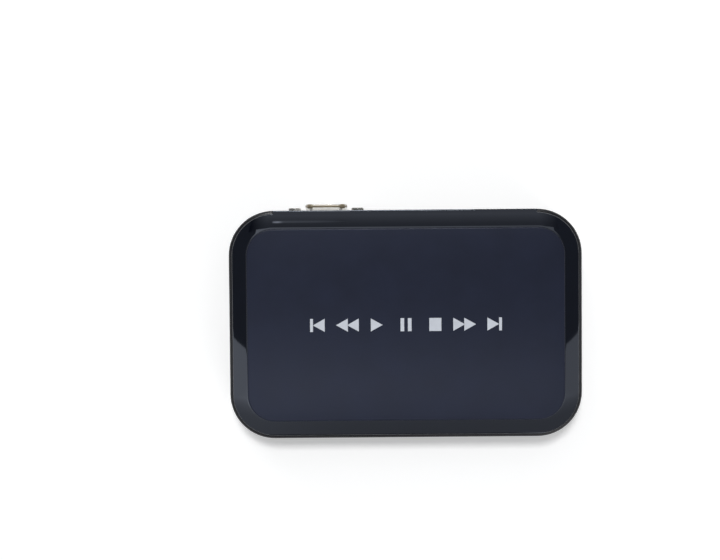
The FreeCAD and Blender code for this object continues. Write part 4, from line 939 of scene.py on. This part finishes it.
SPINDLE_FROM_END = 35.0 * MM
ARM_FROM_PLUG = 21 * MM
ARM_ASIDE = -9 * MM
BREATHER_FROM_PLUG = 12 * MM
BREATHER_ASIDE = 14 * MM
BREATHER_HOLE = 0.55 * MM
BREATHER_DEPTH = 0.3 * MM
DISC_RING = (23.6 * MM, 25.4 * MM)
HUB_RING = (8.0 * MM, 9.6 * MM)
ARM_RING = (4.4 * MM, 5.6 * MM)
BREATHER_RING = (1.7 * MM, 2.3 * MM)
LID_STEP = 0.15 * MM
GROOVE_DEPTH = 0.2 * MM
LID_SCREW = 1.9 * MM
LID_SCREW_FLAT = 0.88 * LID_SCREW
LID_SCREW_TALL = 0.34 * MM
LID_SCREW_EASE = 0.35 * LID_SCREW_TALL
LID_SCREW_INSET = 3.6 * MM
LID_SCREW_MIDDLE = 40 * MM
STAR_REACH = 0.85 * MM
STAR_LOBE = 0.14 * MM
STAR_LOBES = 6
STAR_FLOOR = 0.06 * MM
SIDE_HOLE = 1.25 * MM
SIDE_HOLE_DEPTH = 3.2 * MM
SIDE_HOLE_UP = 3.0 * MM
SIDE_HOLE_FROM_PLUG = 14.0 * MM
SIDE_HOLE_FROM_END = 9.4 * MM
SIDE_HOLE_MOUTH = 0.35 * MM


def lid_spots():
    """The middles of the spindle, the arm's pivot and the breather, seen from above."""
    plug_end, y = low("drive_lid").x, middle("drive_lid").y
    return ((high("drive_casting").x - SPINDLE_FROM_END, y),
            (plug_end + ARM_FROM_PLUG, y + ARM_ASIDE),
            (plug_end + BREATHER_FROM_PLUG, y + BREATHER_ASIDE))


def ring_groove(spot, top, inner, outer):
    """A pressed ring with sloping sides."""
    mouth, floor = top + HAIR, top - GROOVE_DEPTH
    section = [(inner, mouth), (outer, mouth), (outer - GROOVE_DEPTH, floor), (inner + GROOVE_DEPTH, floor)]
    return belt(turned_rings(section, "z", spot, count=64))


def drive_lid():
    """The pressed lid: rings over the spindle and the arm's pivot, and a breather."""
    spindle, arm, breather = lid_spots()
    top = high("drive_lid").z
    rings = ((spindle, DISC_RING), (spindle, HUB_RING), (arm, ARM_RING), (breather, BREATHER_RING))
    grooves = [ring_groove(spot, top, *radii) for spot, radii in rings]
    profile = [(BREATHER_HOLE, top - BREATHER_DEPTH), (BREATHER_HOLE, top + HAIR)]
    hole = turned(profile, "z", breather, count=20)
    remade("drive_lid", "drive_lid_pressed", "tray", removed=[*grooves, hole])


def star(spot):
    """The outline of a six-lobed recess."""
    points = []
    for angle in around(8 * STAR_LOBES):
        reach = STAR_REACH + STAR_LOBE * math.cos(STAR_LOBES * angle)
        points.append((spot[0] + reach * math.cos(angle), spot[1] + reach * math.sin(angle)))
    return points


def lid_screw_places():
    """(spot, height) of six screws round the lid's edge, one over the spindle and one over the pivot."""
    lid_low, lid_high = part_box("drive_lid")
    sides = (lid_low.y + LID_SCREW_INSET, lid_high.y - LID_SCREW_INSET)
    spots = corners_of("drive_lid", LID_SCREW_INSET) + [(lid_low.x + LID_SCREW_MIDDLE, y) for y in sides]
    places = [(spot, lid_high.z - LID_STEP) for spot in spots]
    return places + [(spot, lid_high.z) for spot in lid_spots()[:2]]


def lid_screws():
    """The lid's low screws with six-lobed recesses."""
    heads, recesses = [], []
    for spot, z in lid_screw_places():
        top = z + LID_SCREW_TALL
        profile = [(LID_SCREW, z - HAIR), (LID_SCREW, top - LID_SCREW_EASE), (LID_SCREW_FLAT, top)]
        heads.append(turned(profile, "z", spot, count=36))
        recesses.append(extruded(star(spot), "z", z + STAR_FLOOR, top + HAIR))
    made = solid("lid_screws", gathered(heads))
    cut(made, gathered(recesses))
    shade(made.data, NODE_SHARP)
    dress(made, "tray", "screw_steel")


def drive_body():
    """The drive's casting with its four side holes, countersunk at their mouths."""
    cast_low, cast_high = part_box("drive_casting")
    z = cast_low.z + SIDE_HOLE_UP
    holes = []
    for x in (cast_low.x + SIDE_HOLE_FROM_PLUG, cast_high.x - SIDE_HOLE_FROM_END):
        for side, y in ((-1, cast_low.y), (1, cast_high.y)):
            profile = [(SIDE_HOLE + SIDE_HOLE_MOUTH, y + side * HAIR),
                       (SIDE_HOLE, y - side * SIDE_HOLE_MOUTH),
                       (SIDE_HOLE, y - side * SIDE_HOLE_DEPTH)]
            holes.append(turned(profile, "y", (x, z), count=20))
    remade("drive_casting", "drive_body", "tray", removed=[gathered(holes)])


# ---- Latch ----

GRIP_COUNT = 4
GRIP_PITCH = 1.15 * MM
GRIP_DEPTH = 0.22 * MM
GRIP_LOW = 1.35 * MM
GRIP_SHARE = 0.68


def latch_grip():
    """The latch lever with grip grooves across its pad."""
    box_low, box_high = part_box("latch_lever")
    y = middle("latch_lever").y
    half = GRIP_SHARE * (box_high.y - box_low.y) / 2
    face = box_high.x + HAIR
    grooves = []
    for number in range(GRIP_COUNT):
        z = low("tray_bezel").z + GRIP_LOW + number * GRIP_PITCH
        outline = [(face, z - GRIP_DEPTH), (face - GRIP_DEPTH, z), (face, z + GRIP_DEPTH)]
        grooves.append(extruded(outline, "y", y - half, y + half))
    remade("latch_lever", "latch_grip", "latch", removed=[gathered(grooves)])


# ---- Camera, lights and stage ----

# The camera's place, its tilt and roll in degrees, and its lens and sensor in Blender's millimetres.
CAMERA_AT = Vector((-17.76, 45.48, 627.1)) * MM
CAMERA_TILT = 2.79
CAMERA_ROLL = -0.473
CAMERA_LENS = 77.19
CAMERA_SENSOR = 36

# In metres, how far from the object the floor's glow starts to rise from FLOOR_LIFT, and where it is full.
FLOOR_NEAR = 0.25
FLOOR_FAR = 0.8
FLOOR_LIFT = 0.3
ROOM = 3.0
BACKDROP_TALL = 1.0
BACKDROP_SIDES = 48
SKY_COLOUR = (0.92, 0.96, 1.0, 1)
SKY_STRENGTH = 0.18

# Lamps aimed at the origin: name, place and size in metres, power in watts, whether gloss sees the lamp,
# and whether it lights matt surfaces.
LAMPS = (
    ("overhead", (-0.05, 0.31, 1.2), (0.16, 0.16), 7.6, False, True),
    ("softbox", (0, 0.52, 1.1), (1.0, 0.9), 2.2, False, True),
    ("edge", (-0.1, 1.0, 0.6), (0.42, 0.15), 7.5, True, False),
    ("rim", (-0.5, 1.0, 0.6), (0.7, 0.4), 2.5, False, True),
    ("fill", (0.6, -0.9, 0.6), (0.8, 0.8), 4, True, True),
)


def camera():
    """The camera, at the photograph's place and angle."""
    data = bpy.data.cameras.new("camera")
    data.lens = CAMERA_LENS
    data.sensor_width = CAMERA_SENSOR
    made = added("camera", data)
    tilt = Matrix.Rotation(math.radians(-CAMERA_TILT), 4, "X")
    roll = Matrix.Rotation(math.radians(CAMERA_ROLL), 4, "Z")
    made.matrix_world = Matrix.Translation(CAMERA_AT) @ (tilt @ roll)
    bpy.context.scene.camera = made


def lamp(name, at, size, power, glossy, diffuse):
    """A rectangular lamp that faces the origin."""
    data = bpy.data.lights.new(name, "AREA")
    data.shape = "RECTANGLE"
    data.size, data.size_y = size
    data.energy = power
    made = added(name, data)
    way = Vector((0, 0, 0)) - Vector(at)
    made.matrix_world = Matrix.Translation(at) @ way.to_track_quat("-Z", "Y").to_matrix().to_4x4()
    made.visible_glossy = glossy
    made.visible_diffuse = diffuse


def lights():
    """The lamps, and a dim sky."""
    world = bpy.data.worlds.new("world")
    world.use_nodes = True
    background = world.node_tree.nodes["Background"]
    background.inputs["Color"].default_value = SKY_COLOUR
    background.inputs["Strength"].default_value = SKY_STRENGTH
    bpy.context.scene.world = world
    for row in LAMPS:
        lamp(*row)


def reckoned(tree, operation, first, second):
    """The result of an operation on two values."""
    node = tree.nodes.new("ShaderNodeMath")
    node.operation = operation
    tree.links.new(first, node.inputs[0])
    tree.links.new(second, node.inputs[1])
    return node.outputs["Value"]


def seen_rays(tree):
    """1 on rays from the camera, a gloss or a glass, and 0 on the rays that light things."""
    path = tree.nodes.new("ShaderNodeLightPath")
    seen = path.outputs["Is Camera Ray"]
    for ray in ("Is Glossy Ray", "Is Transmission Ray"):
        seen = reckoned(tree, "MAXIMUM", seen, path.outputs[ray])
    return seen


def floor_material():
    """White paper that keeps the object's shadow: its own lit colour, lifted to white where it is seen."""
    made = material("floor_paper", (0.85, 0.85, 0.85), 0.9, Specular_IOR_Level=0.0)
    tree = made.node_tree
    shader = tree.nodes["Principled BSDF"]
    reach = tree.nodes.new("ShaderNodeVectorMath")
    reach.operation = "LENGTH"
    tree.links.new(place(made), reach.inputs[0])
    lift = ranged(tree, reach.outputs["Value"], (FLOOR_NEAR, FLOOR_FAR), (FLOOR_LIFT, 1))
    strength = reckoned(tree, "MULTIPLY", seen_rays(tree), lift)
    shader.inputs["Emission Color"].default_value = WHITE
    tree.links.new(strength, shader.inputs["Emission Strength"])
    return made


def glowing(name):
    """A material that only glows, and its glow."""
    made = bpy.data.materials.new(name)
    made.use_nodes = True
    tree = made.node_tree
    tree.nodes.remove(tree.nodes["Principled BSDF"])
    glow = tree.nodes.new("ShaderNodeEmission")
    tree.links.new(glow.outputs["Emission"], tree.nodes["Material Output"].inputs["Surface"])
    return made, glow


def backdrop_material():
    """White where it is seen, and dark to the rays that light things."""
    made, glow = glowing("backdrop_white")
    made.node_tree.links.new(seen_rays(made.node_tree), glow.inputs["Strength"])
    return made


def levels(tree, value, stops):
    """A grey that runs through (place, level) stops as a value rises."""
    first, last = stops[0][0], stops[-1][0]
    ramp = tree.nodes.new("ShaderNodeValToRGB")
    tree.links.new(ranged(tree, value, (first, last)), ramp.inputs["Fac"])
    spots = ramp.color_ramp.elements
    for at, _ in stops[1:-1]:
        spots.new((at - first) / (last - first))
    for spot, (_, level) in zip(spots, stops):
        spot.color = (level, level, level, 1)
    return ramp.outputs["Color"]


def card_material(name, upright, up_stops, across_stops):
    """A reflector's glow, which changes along two directions."""
    made, glow = glowing(name)
    tree = made.node_tree
    split = tree.nodes.new("ShaderNodeSeparateXYZ")
    tree.links.new(place(made), split.inputs["Vector"])
    tree.links.new(levels(tree, split.outputs[upright], up_stops), glow.inputs["Strength"])
    tree.links.new(levels(tree, split.outputs["X"], across_stops), glow.inputs["Color"])
    return made


# Reflectors that only gloss sees: name, lowest corner, highest corner (mm), direction of the first stops,
# then (mm, level) stops along that direction and across it.
REFLECTORS = (
    ("front_card", (-600, -46.9, 28.5), (600, -46.9, 363), "Z",
     ((28.5, 0.66), (45, 0.74), (110, 1.7), (363, 1.7)),
     ((-600, 1), (-150, 1), (-60, 1.25), (-30, 1.0), (0, 0.92), (60, 0.92), (150, 0.72), (600, 0.72))),
    ("sky", (-81, -46, 90), (84, 64, 90), "Y",
     ((-46, 3.0), (-25, 1.35), (5, 0.6), (38, 0.54), (43, 1.5), (64, 1.5)),
     ((-81, 1.3), (-50, 1.1), (0, 0.95), (84, 0.78))),
    ("rear_card", (-260, 190, 400), (260, 520, 400), "Y",
     ((190, 0.36), (240, 0.45), (355, 0.98), (520, 0.6)), ((-260, 0), (-120, 0.95), (120, 0.95), (260, 0.3))),
    ("streak", (-82, 249, 399), (-30, 280, 399), "Y",
     ((249, 0.6), (258, 1.15), (270, 1.15), (280, 0.6)), ((-82, 1), (-50, 0.85), (-30, 0.5))),
    ("spot", (-82, 247, 398), (-75, 274, 398), "Y",
     ((247, 1), (260, 5.2), (274, 1)), ((-82, 0.5), (-78, 1), (-75, 0.5))),
)


def sheet(name, verts, faces, material_of):
    """An open sheet of the stage, which isn't part of the object."""
    mesh = bpy.data.meshes.new(name)
    mesh.from_pydata([tuple(v) for v in verts], [], faces)
    mesh.materials.append(material_of)
    made = added(name, mesh)
    return made


def reflector(name, lowest, highest, upright, up_stops, across_stops):
    """A flat card that only gloss sees."""
    (x0, y0, z0), (x1, y1, z1) = Vector(lowest) * MM, Vector(highest) * MM
    stops = [[(at * MM, level) for at, level in row] for row in (up_stops, across_stops)]
    card = sheet(name, [(x0, y0, z0), (x1, y0, z0), (x1, y1, z1), (x0, y1, z1)], [(0, 1, 2, 3)],
                 card_material(name, upright, *stops))
    card.visible_camera = False
    card.visible_diffuse = False
    card.visible_shadow = False
    card.visible_transmission = False


def stage():
    """A pale floor, a backdrop round it, and the reflectors that only gloss sees."""
    far = 1.5 * ROOM
    sheet("floor", [(-far, -far, 0), (far, -far, 0), (far, far, 0), (-far, far, 0)], [(0, 1, 2, 3)],
          floor_material())
    count = BACKDROP_SIDES
    wall = [(x, y, z) for z in (0, BACKDROP_TALL) for x, y in circle(ROOM, (0, 0), count)]
    faces = [(n, (n + 1) % count, (n + 1) % count + count, n + count) for n in range(count)]
    sheet("backdrop", wall, faces, backdrop_material())
    for row in REFLECTORS:
        reflector(*row)


for make in (
    camera, lights, stage, finish_nodes,
    case_piece, cover_piece, plate_piece, symbols_piece,
    video_lip, video_face, jackscrews, jack_rings, digital_contacts, usb_contacts, usb_fingers,
    case_screws, drive_screws, drive_lid, lid_screws, drive_body,
    latch_grip, bezel_piece, ease_nodes,
):
    make()
bpy.context.scene.view_settings.view_transform = "Standard"
